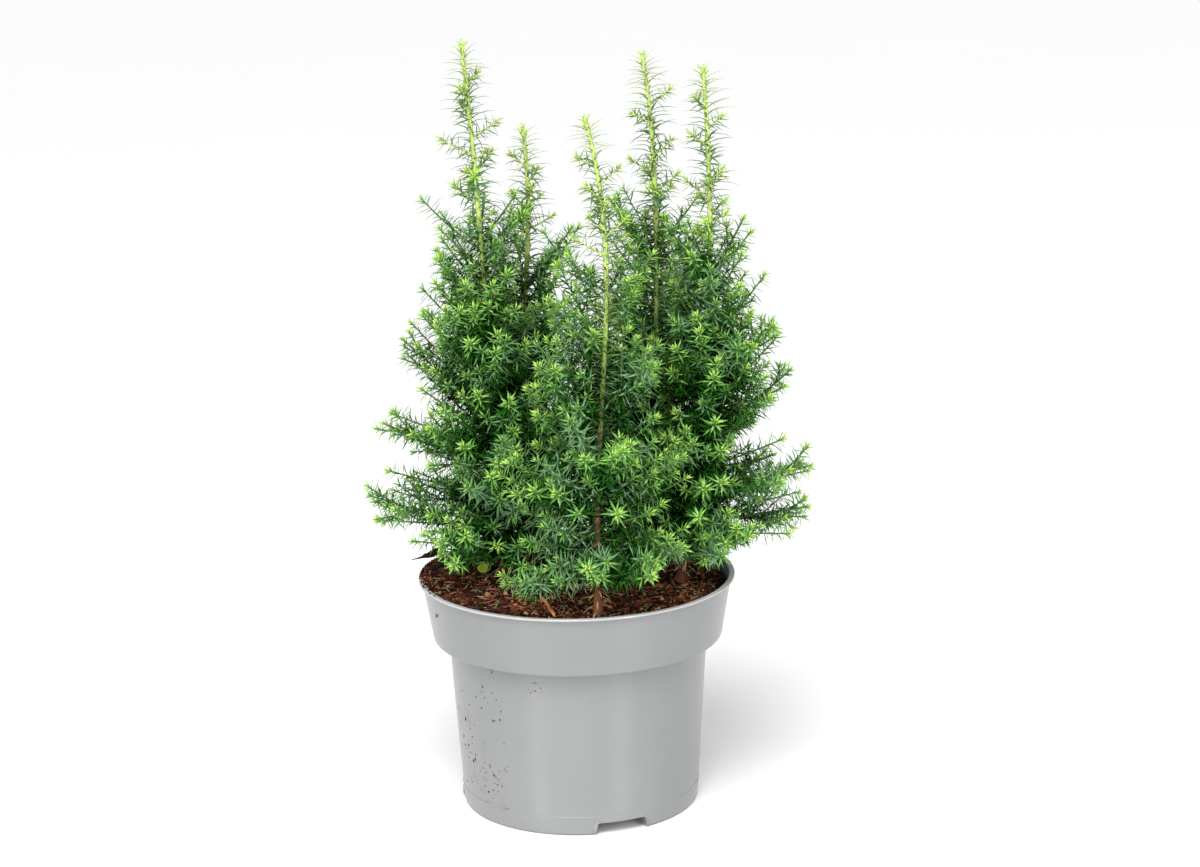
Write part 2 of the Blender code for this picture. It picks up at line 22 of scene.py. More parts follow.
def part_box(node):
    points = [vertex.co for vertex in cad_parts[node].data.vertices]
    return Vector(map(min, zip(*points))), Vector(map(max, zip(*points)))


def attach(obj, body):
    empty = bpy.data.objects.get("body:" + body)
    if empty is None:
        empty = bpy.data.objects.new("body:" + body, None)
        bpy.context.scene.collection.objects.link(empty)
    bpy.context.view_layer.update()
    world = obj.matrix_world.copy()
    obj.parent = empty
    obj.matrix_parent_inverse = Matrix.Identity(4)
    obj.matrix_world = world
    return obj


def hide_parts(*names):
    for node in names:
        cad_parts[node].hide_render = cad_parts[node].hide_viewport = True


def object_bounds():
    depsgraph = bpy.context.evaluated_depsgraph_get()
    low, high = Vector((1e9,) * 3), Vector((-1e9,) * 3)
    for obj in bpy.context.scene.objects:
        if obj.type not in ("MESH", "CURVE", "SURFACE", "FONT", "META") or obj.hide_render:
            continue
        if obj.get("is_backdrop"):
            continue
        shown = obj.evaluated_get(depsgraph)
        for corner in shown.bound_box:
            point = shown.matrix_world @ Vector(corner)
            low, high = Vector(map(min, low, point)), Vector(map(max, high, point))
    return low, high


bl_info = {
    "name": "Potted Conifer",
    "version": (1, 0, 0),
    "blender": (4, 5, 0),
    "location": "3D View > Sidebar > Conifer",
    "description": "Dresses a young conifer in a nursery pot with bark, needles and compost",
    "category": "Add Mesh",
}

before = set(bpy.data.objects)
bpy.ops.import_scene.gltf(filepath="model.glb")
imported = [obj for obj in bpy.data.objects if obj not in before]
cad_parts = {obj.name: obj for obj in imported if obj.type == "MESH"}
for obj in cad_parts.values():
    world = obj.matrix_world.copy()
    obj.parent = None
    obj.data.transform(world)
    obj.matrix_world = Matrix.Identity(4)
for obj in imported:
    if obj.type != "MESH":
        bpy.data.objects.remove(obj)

CAD_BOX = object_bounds()
CAD_LOW, CAD_HIGH = np.array(CAD_BOX)
BODY = "root"

# Pot, with its rim and height from the frame
RIM_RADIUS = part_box("pot")[1].x
POT_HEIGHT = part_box("pot")[1].z
LIP_HEIGHT = 0.0015
LIP_OVERHANG = 0.0021
COLLAR_FOOT_RADIUS = 0.0868
COLLAR_FOOT_HEIGHT = 0.1030
BODY_TOP_RADIUS = 0.0778
BASE_RADIUS = 0.0711
BASE_CHAMFER = 0.0012
WALL = 0.0016
FLOOR = 0.0020
RIM_INSIDE = RIM_RADIUS - 2 * LIP_OVERHANG - WALL
FOOT_LEDGE_HEIGHT = 0.0119
FOOT_LEDGE_DEPTH = 0.0003
POT_STEPS = 128
CORNER_STEPS = 4
SHARP_ANGLE = math.radians(32)

# Drainage channels moulded up into the pot's floor, opening through its foot
CHANNEL_COUNT = 3
CHANNEL_FIRST_AZIMUTH = -70
CHANNEL_WIDTH = 0.034
CHANNEL_HEIGHT = 0.0075
CHANNEL_INNER_RADIUS = 0.042
CHANNEL_DRAFT = 0.88
CHANNEL_ROUNDING = 0.0009

# Compost: a bed heaped to the left, and its roughness as (share, fineness, seed)
SOIL_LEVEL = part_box("compost")[1].z
SOIL_GAP = 0.0012
SOIL_FOOT = 0.0120
SOIL_HEAP = 0.0052
SOIL_SINK = 0.0010
SOIL_EDGE_DEPTH = 0.004
HEAP_TOWARDS = (-0.98, -0.20)
HEAP_CURVE = 1.5
WALL_DROP = 0.110
WALL_DROP_FROM = 0.80
SOIL_TEXTURE = (0.9, 2.1, 4)
SOIL_ROUGHNESS = ((0.75, 34, 1.7), (0.55, 105, 4.1), (0.42, 330, 7.3))
SOIL_RINGS = 84
SOIL_STEPS = 200

# Loose compost: shares, sizes, a skew towards small ones, and turns as tilt in radians with dents or curl
CRUMB_SHARES = {"dark": 0.36, "brown": 0.30, "red": 0.23, "tan": 0.11}
CRUMB_SHAPES = ((1.0, 0.7, 0.45), (1.7, 1.1, 0.8))
CRUMB_SKEW = 1.8
CRUMB_TURNS = (0.9, 0.28)
SPILLED = 420
SPILLED_SIZES = (0.0003, 0.0011)
SPILL_BAND = (0.0075, 0.0008)
SPILL_AZIMUTHS = (178, 12)
SPILL_LIFT = 0.0002
SPILL_SLOPE = 0.30
STREWN_INSET = 0.003
CHIP_SHARES = {"brown": 0.4, "red": 0.6}
CHIP_SIZES = ((0.0018, 0.0008, 0.00035), (0.0066, 0.0022, 0.0009))
CHIP_TURNS = (0.55, 0.30)
FIBRE_SHARES = {"tan": 0.50, "red": 0.50}
FIBRE_LENGTHS = (0.002, 0.0075)
FIBRE_SKEW = 1.6
FIBRE_RADII = (0.00012, 0.00032)
FIBRE_TURNS = (0.5, 1.3)
FIBRE_LIFT = 0.0005
FIBRE_RINGS = 4
FIBRE_SIDES = 3

# Litter: flakes and a twig as lines with their half widths, and a seedling of three leaves
FLAKES = (
    (
        (
            (-0.1005, 0.0240, 0.1432),
            (-0.0950, 0.0290, 0.1432),
            (-0.0890, 0.0380, 0.1424),
            (-0.0820, 0.0480, 0.1414),
        ),
        (0.0003, 0.0008, 0.0014, 0.0027, 0.0033, 0.0030, 0.0024, 0.0012),
        (0.0003, 0.0005, 0.0008, 0.0013, 0.0016, 0.0014, 0.0010, 0.0005),
    ),
    (
        ((-0.0915, 0.0330, 0.1445), (-0.0860, 0.0400, 0.1450), (-0.0810, 0.0480, 0.1436)),
        (0.0004, 0.0013, 0.0020, 0.0016, 0.0006),
        (0.0003, 0.0007, 0.0009, 0.0008, 0.0003),
    ),
)
FLAKE_ROUGHNESS = (0.72, 1.2)
TWIG = ((-0.0215, -0.0430, 0.1400), (-0.0165, -0.0660, 0.1408), (-0.0122, -0.0900, 0.1413))
TWIG_WIDTHS = (0.0005, 0.0009, 0.0011, 0.0009, 0.0010, 0.0006)
SEEDLING_PLACE = (-0.0552, 0.0120)
SEEDLING_HEIGHT = 0.0060
SEEDLING_STALK = (0.0004, 0.0004, 0.0003)
SEEDLING_SINK = 0.001
LEAF_WIDTH = 0.92
LEAF_DEPTH = 0.10
LEAF_CURVE = 0.9
LEAF_CUP = 0.35
SEEDLING = ((262, -28, 1.0), (350, 4, 0.85), (170, -2, 0.80))

# Fallen needles: the share of each shade, smallest and largest sizes, and how they lie
LOOSE_SHARES = {"dry": 0.55, "dull": 0.45}
LOOSE_SIZES = ((0.005, 0.0004, 0.0004), (0.010, 0.0006, 0.0005))
LOOSE_TURNS = (0.35, 0.02)
LOOSE_LIFT = 0.0008

# Crumbs on the pot's wall: shapes, dents, then marks as (count, azimuths in degrees, heights, sizes)
WALL_BIT_SHAPES = ((0.6, 0.7, 0.25), (1.3, 1.9, 0.5))
WALL_BIT_DENTS = (0.65, 1.2)
DARK_MARKS = (
    (46, (195, 236), (0.010, 0.088), (0.00022, 0.00060)),
    (8, (196, 214), (0.030, 0.062), (0.00045, 0.00095)),
    (9, (247, 257), (0.089, 0.096), (0.00025, 0.00055)),
    (12, (218, 232), (0.018, 0.036), (0.00030, 0.00070)),
    (4, (203, 206), (0.1255, 0.1285), (0.00035, 0.00075)),
    (5, (228, 232), (0.0970, 0.1000), (0.00030, 0.00060)),
    (6, (250, 300), (0.055, 0.125), (0.00015, 0.00030)),
)
RED_MARKS = (
    (26, (216, 234), (0.008, 0.040), (0.00025, 0.00065)),
    (12, (198, 224), (0.010, 0.060), (0.00020, 0.00045)),
)

CLEARANCE = 0.0003
STEM_POINTS = 60
STEM_SEED_STEP = 3.1
BOUGH_SEED = 40
LINE_POINTS = 9

# Trunks: a foot on the compost, two handles and a tip, as the four points of one Bezier curve
TRUNKS = {
    "left": ((-0.044, 0.002), (-0.047, 0.004, 0.24), (-0.052, 0.010, 0.37), (-0.0600, 0.010, 0.4556)),
    "back_left": ((-0.031, 0.042), (-0.040, 0.040, 0.25), (-0.018, 0.040, 0.33), (-0.0268, 0.040, 0.4034)),
    "front": ((0.0125, -0.073), (0.0100, -0.064, 0.26), (0.0340, -0.048, 0.33), (0.0105, -0.040, 0.4181)),
    "back_right": ((0.043, 0.041), (0.050, 0.040, 0.24), (0.057, 0.040, 0.37), (0.0448, 0.040, 0.4450)),
    "right": ((0.062, -0.001), (0.086, 0.000, 0.23), (0.084, 0.000, 0.36), (0.0790, 0.000, 0.4408)),
}
TRUNK_FOOT_RADIUS = 0.0033
TRUNK_TOP_RADIUS = 0.0013
TRUNK_TAPER = 0.6
TRUNK_FLARE = 0.45
TRUNK_FLARE_HEIGHT = 0.006
STEM_SINK = 0.003
BARK_STEP = 0.0012
BARK_SIDES = 18
BARK_FINE = 900.0
BARK_STRETCH = 0.22
BARK_TEXTURE = (0.8, 2.2, 3)
BARK_BASE = 0.94
RIDGE_HEIGHT = 0.65
RIDGE_SINK = 0.55
RIDGE_FADE = 1.3
KNOT_HEIGHT = 0.06
KNOT_FINE = 60
KNOT_SEED = 5.0

# Height at which each trunk ends in its green leader, and how far the leader's lowest side shoots reach
LEADERS = {
    "left": (0.342, 0.026),
    "back_left": (0.318, 0.020),
    "front": (0.322, 0.024),
    "back_right": (0.336, 0.022),
    "right": (0.328, 0.018),
}

# Boughs: trunk, name, height it leaves at, azimuth in degrees, reach from the trunk, rise in degrees
BOUGHS = (
    ("left", "low", 0.172, 172, 0.074, 6),
    ("back_left", "low", 0.162, 132, 0.068, 7),
    ("front", "low", 0.149, 205, 0.055, 7),
    ("back_right", "low", 0.162, 52, 0.066, 7),
    ("right", "low", 0.166, 4, 0.067, 5),
)
BOUGH_SHARE = 0.25
BOUGH_ROOT_RADIUS = 0.0017
BOUGH_TIP_RADIUS = 0.0014
BOUGH_POINTS = 4
BOUGH_SINK = 0.002
BOUGH_BARE = 0.004

# Masses that leave the trunk itself: the same six values
MASSES = (
    ("left", "low_front", 0.160, 238, 0.062, 9),
    ("left", "outer", 0.206, 186, 0.067, 20),
    ("left", "inner", 0.200, 285, 0.054, 24),
    ("left", "upper_outer", 0.236, 170, 0.060, 33),
    ("left", "upper_front", 0.258, 236, 0.052, 42),
    ("left", "top_outer", 0.294, 150, 0.042, 42),
    ("left", "top_inner", 0.326, 0, 0.036, 42),
    ("back_left", "low_back", 0.166, 90, 0.062, 11),
    ("back_left", "outer", 0.190, 165, 0.060, 20),
    ("back_left", "inner", 0.204, 325, 0.048, 26),
    ("back_left", "upper_outer", 0.230, 128, 0.056, 36),
    ("back_left", "upper_back", 0.254, 70, 0.048, 44),
    ("back_left", "top_outer", 0.276, 190, 0.036, 44),
    ("back_left", "top_inner", 0.304, 330, 0.032, 46),
    ("front", "low_right", 0.162, 336, 0.054, 12),
    ("front", "low_front", 0.160, 262, 0.036, 10),
    ("front", "left", 0.190, 184, 0.056, 22),
    ("front", "right", 0.198, 8, 0.052, 24),
    ("front", "middle", 0.210, 296, 0.046, 30),
    ("front", "upper_left", 0.240, 212, 0.050, 40),
    ("front", "upper_right", 0.252, 326, 0.049, 42),
    ("front", "top_left", 0.280, 165, 0.040, 42),
    ("front", "top_right", 0.304, 20, 0.036, 44),
    ("back_right", "low_back", 0.166, 92, 0.062, 11),
    ("back_right", "outer", 0.190, 20, 0.060, 18),
    ("back_right", "inner", 0.204, 215, 0.048, 26),
    ("back_right", "upper_outer", 0.230, 52, 0.056, 36),
    ("back_right", "upper_back", 0.256, 112, 0.049, 44),
    ("back_right", "top_outer", 0.290, 12, 0.042, 42),
    ("back_right", "top_inner", 0.324, 190, 0.035, 44),
    ("right", "low_front", 0.162, 300, 0.062, 9),
    ("right", "outer", 0.186, 352, 0.066, 11),
    ("right", "inner", 0.202, 245, 0.054, 24),
    ("right", "upper_outer", 0.222, 4, 0.058, 32),
    ("right", "upper_front", 0.248, 320, 0.058, 40),
    ("right", "top_inner", 0.286, 190, 0.038, 44),
    ("right", "top_outer", 0.316, 25, 0.030, 50),
)

# The growth rule that the solids follow
MAIN_RADIUS = 0.0015
MAIN_SINK = 0.003
MAIN_BARE = 0.005
SHORTEST_SHOOT = 0.010
LIFT_FOR_RISE = 0.0035
SIDE_LIFT = 0.09
GOLDEN_ANGLE = math.radians(137.5)
SIDE_LEAVE = math.radians(40)
SIDE_STEP = 0.0105
SIDE_SHARE = 0.56
SIDE_FALL = 0.62
LEADER_SIDE_STEP = 0.0100
LEADER_SIDE_LEAVE = math.radians(60)
LEADER_BARE_TOP = 0.022
SIDE_JITTER = 0.14
SIDE_FLATNESS = 0.55
STALK_MARGIN = 0.0022
LIMB_MARGIN = 0.0014
GROUND_MARGIN = 0.0016
AXIS_STEP = 0.003
LIMB_SAMPLES = 120

# The finer shoots that the rule is carried on to. A skew below 1 favours long ones
FINE_SHORTEST = 0.007
FINE_LEAVE = math.radians(46)
FINE_FIRST = 0.0055
FINE_SHARE = 0.52
FINE_EXTRA = 0.0065
FINE_BARE_TOP = 0.012
BETWEEN_SHARE = 0.60
STEM_SHOOT_FIRST = 0.016
STEM_SHOOT_TOP = 0.98
STEM_SHOOT_THIN = 0.74
STEM_SHOOT_SPARSE = 1.7
STEM_SHOOT_REACH = (0.32, 1.00)
STEM_SHOOT_SKEW = 0.7
STEM_SHOOT_START = 1.6
STEM_SHOOT_TURN = 0.06
STEM_SHOOT_RISE = 8
STEM_SHOOT_UNEVEN = 0.2
STEM_SHOOT_SIDES = 0.70
STEM_SHOOT_TIP = 0.5
INWARD_TURN = 55
INWARD_HEIGHTS = (0.155, 0.318)
INWARD_REACH = (0.036, 0.058)
OPEN_FACES = (
    ("left", 0.312, 0.362, 0.0042),
    ("back_left", 0.300, 0.338, 0.0042),
    ("front", 0.130, 0.160, 0.0105),
    ("front", 0.178, 0.204, 0.0042),
    ("front", 0.234, 0.350, 0.0042),
    ("back_right", 0.285, 0.352, 0.0042),
)
HABIT_HEIGHT = 0.030
HABIT_EVEN = 0.10
# Tips near a limb or the crown's middle take darker sprays: partly older needles, partly painted shade
INNER_DEPTH = 0.018
MIDDLE_DEPTH = 0.031
CROWN_MIDDLE = 0.012
CROWN_HEART = 0.032
CROWN_SHADE = 0.056
OPEN_HEIGHT = 0.290
LEADER_DARK = 0.030
LEADER_CROWDED = 0.045
STEM_BARE_SHARE = 0.55
FOOT_NEEDLES = 0.046

# Seeds of the random draws
COMPOST_SEED = 11
LITTER_SEED = 31
NEEDLE_SEED = 23
FINER_SEEDS = 1000
STEM_SEEDS = 3000

# Stalks of shoots: radius at root and tip for a mass's main shoot, its sides and the finer ones
STALK_RADII = ((0.0010, 0.0006), (0.0007, 0.00045), (0.0005, 0.00035))
LEADER_RADII = (0.00160, 0.00115)
STALK_RINGS = {"leader": 12, "old": 9, "new": 5}
STALK_SIDES = {"leader": 8, "old": 6, "new": 4}
MOST_TRIANGLES = 190_000

# Needles: rings as (share of length, share of width), shading along a shoot, and how far they stray
NEEDLE_RINGS = ((0.0, 0.70), (0.48, 1.0))
LONG_NEEDLE_RINGS = ((0.0, 0.70), (0.36, 1.0), (0.72, 0.72))
PLAIN_NEEDLE_RINGS = ((0.0, 1.0),)
NEEDLE_KEEL = 0.55
NEEDLE_SINK = 0.6
NEEDLE_CLEAR = 0.0006
TIP_ZONE = 0.0042
MIDDLE_ZONE = 0.0115
HEART_SHARE = 0.36
STAR_OPENINGS = (80, 14)
STAR_LENGTHS = (0.82, 0.34)
STAR_CURVE = 1.3
SPRAY_BARE = 0.001
STEP_JITTER = 0.3
OPENING_JITTER = 0.8
SIZE_JITTER = (1.6, 0.7)
BEND_JITTER = 0.09
WIDTH_JITTER = (0.85, 1.1)
ZONE_JITTER = (0.75, 1.3)
WIDTH_FOR_SIZE = (0.75, 0.25)
ARCHED_BEND = -0.2


class Spray(NamedTuple):
    """How needles stand on one kind of shoot: shares of the settings, angles in degrees, and shades."""

    spacing: float
    length: float
    width: float
    opening: tuple
    bend: float
    lift: float
    star: int
    star_depth: float
    shades: str
    zone: float = 1.0


# Shades run from the heart of the star at the tip, through its rays, back to the root
SPRAYS = {
    "leader": Spray(0.95, 1.46, 1.32, (80, 60), -0.56, 0.28, 34, 0.0160, "pale soft soft dull", 2.2),
    "leader_side": Spray(0.90, 0.95, 1.10, (78, 60), -0.18, 0.06, 14, 0.0048, "pale soft dull dull"),
    "leader_low": Spray(0.90, 1.04, 1.10, (80, 64), -0.18, 0.06, 14, 0.0044, "lime lime dull grey"),
    "bright": Spray(0.95, 0.98, 1.12, (86, 70), -0.12, 0.04, 16, 0.0050, "lime fresh mid dark"),
    "outer": Spray(0.95, 1.00, 1.18, (86, 70), -0.12, 0.04, 14, 0.0048, "lime fresh mid dark"),
    "grey": Spray(0.90, 1.06, 1.06, (86, 72), -0.12, 0.04, 12, 0.0046, "fresh mid grey grey"),
    "middle": Spray(1.00, 1.00, 1.12, (84, 70), -0.08, 0.03, 10, 0.0040, "fresh mid grey dark"),
    # Broad dark and deep needles fill the crown's interior: partly older needles, partly painted shade
    "inner": Spray(1.10, 1.05, 1.70, (82, 70), 0.00, 0.02, 6, 0.0032, "dark dark deep deep"),
    "stem": Spray(0.55, 1.28, 1.10, (78, 72), -0.40, 0.20, 0, 0.0, "soft soft soft dull", 4.0),
    "foot": Spray(0.80, 1.05, 1.00, (98, 88), -0.34, -0.06, 0, 0.0, "dry dry dry dry"),
}
# Families run from the crown's outside inwards; the inner ones carry darker, partly painted shade
FAMILIES = {
    "outer": (("bright", 0.42), ("outer", 0.33), ("grey", 0.25)),
    "middle": (("outer", 0.30), ("grey", 0.25), ("middle", 0.45)),
    "inner": (("middle", 0.40), ("inner", 0.60)),
    "heart": (("inner", 1.0),),
}
# A finer shoot takes a family one step further in: darker needles, partly painted shade
WITHIN = {"outer": "middle", "middle": "inner", "inner": "heart"}
SHADES = ("deep", "dark", "grey", "mid", "fresh", "lime", "pale", "soft", "dull", "dry")

# Camera, fitted to the pot's rim, step and foot
CAMERA_PLACE = (0.0156, -1.5393, 0.5960)
CAMERA_PITCH = math.radians(13.52)
CAMERA_ROLL = math.radians(-1.10)
CAMERA_LENS = 80.0
CAMERA_SENSOR = 36.0
FLOOR_HALF = 60.0
KEY_PLACE = (-0.12, -0.80, 1.35)
KEY_SPREAD = 32
LIGHT_TARGET = (0, 0, 0.22)

# Area lights: name, place, width and height, and the share of a setting that each takes
LIGHTS = (
    ("left_strip", (-0.96, -1.28, 0.40), (0.16, 1.2), "strips", 1.0),
    ("right_strip", (0.96, -1.28, 0.40), (0.16, 1.2), "strips", 1.0),
    ("left_side", (-1.40, -0.10, 1.10), (1.0, 1.3), "side", 1.0),
    ("right_side", (1.40, -0.10, 1.10), (1.0, 1.3), "side", 0.7),
)


def length_setting(name, description, default, low, high):
    """A size in metres that a user may change."""
    return FloatProperty(
        name=name, description=description, default=default, min=low, max=high, unit="LENGTH", precision=5
    )


def colour_setting(name, description, default):
    """A linear colour that a user may change."""
    return FloatVectorProperty(
        name=name, description=description, default=default, size=3, min=0, max=1, subtype="COLOR"
    )


def share_setting(name, description, default):
    """A number from 0 to 1 that a user may change."""
    return FloatProperty(name=name, description=description, default=default, min=0, max=1, subtype="FACTOR")


def count_setting(name, description, default, most):
    """A number of small things that a user may change."""
    return IntProperty(name=name, description=description, default=default, min=0, max=most)


def light_setting(name, description, default, **limits):
    """The strength of a light that a user may change."""
    return FloatProperty(name=name, description=description, default=default, min=0, **limits)


class PotSettings(bpy.types.PropertyGroup):
    colour: colour_setting("Colour", "Light grey of the moulded plastic", (0.220, 0.226, 0.224))
    shaded: colour_setting("Second grey", "Grey of the plastic's faint clouds", (0.209, 0.215, 0.213))
    # The rim colour is a painted highlight: the top of the lip is painted paler, as where light falls on it
    rim: colour_setting("Rim", "Worn, paler edge of the rim", (0.420, 0.425, 0.420))
    soil_mark: colour_setting("Soil marks", "Colour of the compost specks on the wall", (0.05, 0.034, 0.026))
    roughness: share_setting("Roughness", "How matt the plastic is", 0.33)


class CompostSettings(bpy.types.PropertyGroup):
    # Dark: near-black, painted shade in the bed's hollows, and the colour of the dark crumbs
    dark: colour_setting("Dark", "Wet fines in the hollows", (0.006, 0.003, 0.002))
    brown: colour_setting("Brown", "Fines on the lumps", (0.060, 0.017, 0.007))
    red: colour_setting("Red bark", "Red-brown crumbs", (0.215, 0.052, 0.020))
    tan: colour_setting("Tan fibre", "Pale fibres and splinters", (0.54, 0.275, 0.145))
    lump: length_setting("Lump height", "How far the surface rises and falls", 0.0028, 0.0, 0.004)
    crumbs: count_setting("Crumbs", "Loose crumbs on the surface", 9000, 20000)
    chips: count_setting("Chips", "Flat bark chips", 420, 4000)
    fibres: count_setting("Fibres", "Fine strands", 3200, 6000)


class LitterSettings(bpy.types.PropertyGroup):
    flake: colour_setting("Flake", "Dark bark flake and crumbs", (0.060, 0.030, 0.018))
    stain: colour_setting("Stain", "Red-brown crumbs on the pot", (0.260, 0.130, 0.095))
    twig: colour_setting("Twig", "Fresh orange wood of the twig", (0.640, 0.230, 0.075))
    seedling: colour_setting("Seedling", "Round leaves of the seedling", (0.420, 0.600, 0.070))
    leaf: length_setting("Leaf length", "Length of the seedling's largest leaf", 0.0088, 0.002, 0.02)
    loose: count_setting("Loose needles", "Fallen needles", 260, 2000)


class WoodSettings(bpy.types.PropertyGroup):
    foot: colour_setting("Foot", "Red-brown bark at the compost", (0.170, 0.046, 0.016))
    middle: colour_setting("Middle", "Tan bark half-way up", (0.22, 0.150, 0.058))
    top: colour_setting("Top", "Green stem below the leader", (0.38, 0.55, 0.13))
    relief: share_setting("Bark relief", "Depth of the ridges as a share of the radius", 0.16)


class FoliageSettings(bpy.types.PropertyGroup):
    length: length_setting("Needle length", "Length of a full needle", 0.0096, 0.004, 0.02)
    width: length_setting("Needle width", "Width of a needle", 0.00112, 0.0005, 0.003)
    spacing: length_setting("Needle spacing", "Stalk length for each needle", 0.00104, 0.0006, 0.004)
    fine_step: length_setting("Fine shoot step", "Distance between the finest shoots", 0.0072, 0.004, 0.03)
    stem_step: length_setting("Stem shoot step", "Distance between shoots on a stem", 0.00105, 0.001, 0.03)
    loose: share_setting("Looseness", "How unevenly needles stand", 0.20)


class NeedleColours(bpy.types.PropertyGroup):
    # Deep and dark go to shoots inside the crown: partly older needles, partly painted shade there
    deep: colour_setting("Deep", "Needles in the heart of the crown", (0.002, 0.024, 0.001))
    dark: colour_setting("Dark", "Old needles", (0.022, 0.112, 0.012))
    grey: colour_setting("Grey", "Soft blue-green needles", (0.160, 0.320, 0.142))
    mid: colour_setting("Mid", "Needles of this year's shoots", (0.160, 0.380, 0.080))
    fresh: colour_setting("Fresh", "Young needles and rays of the stars at the tips", (0.300, 0.560, 0.125))
    lime: colour_setting("Lime", "Hearts of the stars at the tips", (0.450, 0.720, 0.130))
    pale: colour_setting("Pale", "Tops of the leaders", (0.570, 0.770, 0.230))
    soft: colour_setting("Soft", "Arched needles high on stems and leaders", (0.370, 0.505, 0.145))
    dull: colour_setting("Dull", "Arched needles lower on stems and leaders", (0.150, 0.270, 0.095))
    dry: colour_setting("Dry", "Dead needles at the foot", (0.56, 0.42, 0.20))
    stalk_old: colour_setting("Old stalk", "Stalk of a mass's main shoot", (0.095, 0.150, 0.030))
    stalk_new: colour_setting("New stalk", "Stalk of a young shoot", (0.095, 0.200, 0.036))
    stalk_leader: colour_setting("Leader stalk", "Stalk of a leader", (0.560, 0.720, 0.190))


class StageSettings(bpy.types.PropertyGroup):
    floor: colour_setting("Floor", "Pale floor", (0.92, 0.92, 0.92))
    surround: light_setting("Surround", "Light from all round", 0.40, max=5)
    sky: light_setting("Key", "Large soft light from the upper left", 2.7, max=20)
    strips: light_setting("Strips", "Two tall lights beside the camera", 13.0, unit="POWER")
    side: light_setting("Side", "Soft light at the plant's left and, weaker, its right", 7.0, unit="POWER")


# Lines in space, as the solids have them


class Path:
    """A line through space that a limb or shoot follows, measured by its length."""

    def __init__(self, points):
        self.points = [Vector(point) for point in points]
        self.marks = [0.0]
        for before, after in zip(self.points, self.points[1:]):
            self.marks.append(self.marks[-1] + (after - before).length)
        self.length = self.marks[-1]
        heading = (self.points[-1] - self.points[0]).normalized()
        self.reference = Vector((0, 0, 1)) if abs(heading.z) < 0.8 else Vector((1, 0, 0))

    def at(self, distance):
        """The point and the unit direction at a distance along the line."""
        index = 1
        while index < len(self.marks) - 1 and self.marks[index] < distance:
            index += 1
        before, after = self.points[index - 1], self.points[index]
        span = self.marks[index] - self.marks[index - 1]
        share = (distance - self.marks[index - 1]) / span
        return before.lerp(after, share), (after - before).normalized()

    def cross_axes(self, direction):
        """Two unit vectors square to the line."""
        side = self.reference.cross(direction).normalized()
        return side, direction.cross(side)

    def between(self, start, end, count):
        """The stretch from one distance to another as a path of its own."""
        return Path([self.at(start + (end - start) * i / (count - 1))[0] for i in range(count)])

    def frames(self, distances):
        """Points, directions and two cross axes at many distances, as arrays."""
        corners = np.array(self.points)
        steps = np.diff(corners, axis=0)
        steps /= np.linalg.norm(steps, axis=1, keepdims=True)
        middles = (np.array(self.marks[1:]) + np.array(self.marks[:-1])) / 2
        points = np.stack([np.interp(distances, self.marks, corners[:, k]) for k in range(3)], axis=1)
        along = np.stack([np.interp(distances, middles, steps[:, k]) for k in range(3)], axis=1)
        along = unit(along)
        side = unit(np.cross(np.array(self.reference), along))
        return points, along, side, np.cross(along, side)


def unit(vectors):
    """Rows of an array scaled to length 1."""
    return vectors / np.maximum(np.linalg.norm(vectors, axis=-1, keepdims=True), 1e-12)


def bezier(foot, low, high, tip):
    """Points along one cubic Bezier curve."""
    shares = [(i / STEM_POINTS, 1 - i / STEM_POINTS) for i in range(STEM_POINTS + 1)]
    return [foot * u**3 + low * (3 * u * u * t) + high * (3 * u * t * t) + tip * t**3 for t, u in shares]


def rising_path(root, direction, length, lift):
    """A line that leaves root along direction and curves upwards by lift times its length."""
    steps = [length * i / (LINE_POINTS - 1) for i in range(LINE_POINTS)]
    return Path([root + direction * s + Vector((0, 0, lift * s * s / length)) for s in steps])


def compass(azimuth, rise):
    """The unit vector at an azimuth from +X towards +Y and a rise, both in degrees."""
    a, e = math.radians(azimuth), math.radians(rise)
    return Vector((math.cos(a) * math.cos(e), math.sin(a) * math.cos(e), math.sin(e)))


def trunk_line(name):
    """The whole line of one stem, from its foot on the compost to the leader's tip."""
    foot, low, high, tip = TRUNKS[name]
    start = Vector((foot[0], foot[1], SOIL_LEVEL + CLEARANCE))
    return Path(bezier(start, Vector(low), Vector(high), Vector(tip)))


def distance_at_height(line, height):
    """How far along a line it first reaches a height."""
    for mark, point in zip(line.marks, line.points):
        if point.z >= height:
            return mark
    return line.length


def trunk_radius(share):
    """A trunk's radius without its flare, at a share of the way from its foot to the leader."""
    return TRUNK_FOOT_RADIUS + (TRUNK_TOP_RADIUS - TRUNK_FOOT_RADIUS) * share**TRUNK_TAPER


def limb_start(line, top, height, azimuth, rise, radius):
    """Where a limb's root meets the trunk, and the limb's direction."""
    distance = distance_at_height(line, height)
    centre, trunk_direction = line.at(distance)
    direction = compass(azimuth, rise)
    along = direction.dot(trunk_direction)
    across = math.sqrt(1 - along * along)
    stand_off = (trunk_radius(distance / top) + CLEARANCE + radius * abs(along)) / across
    return centre + direction * stand_off, direction


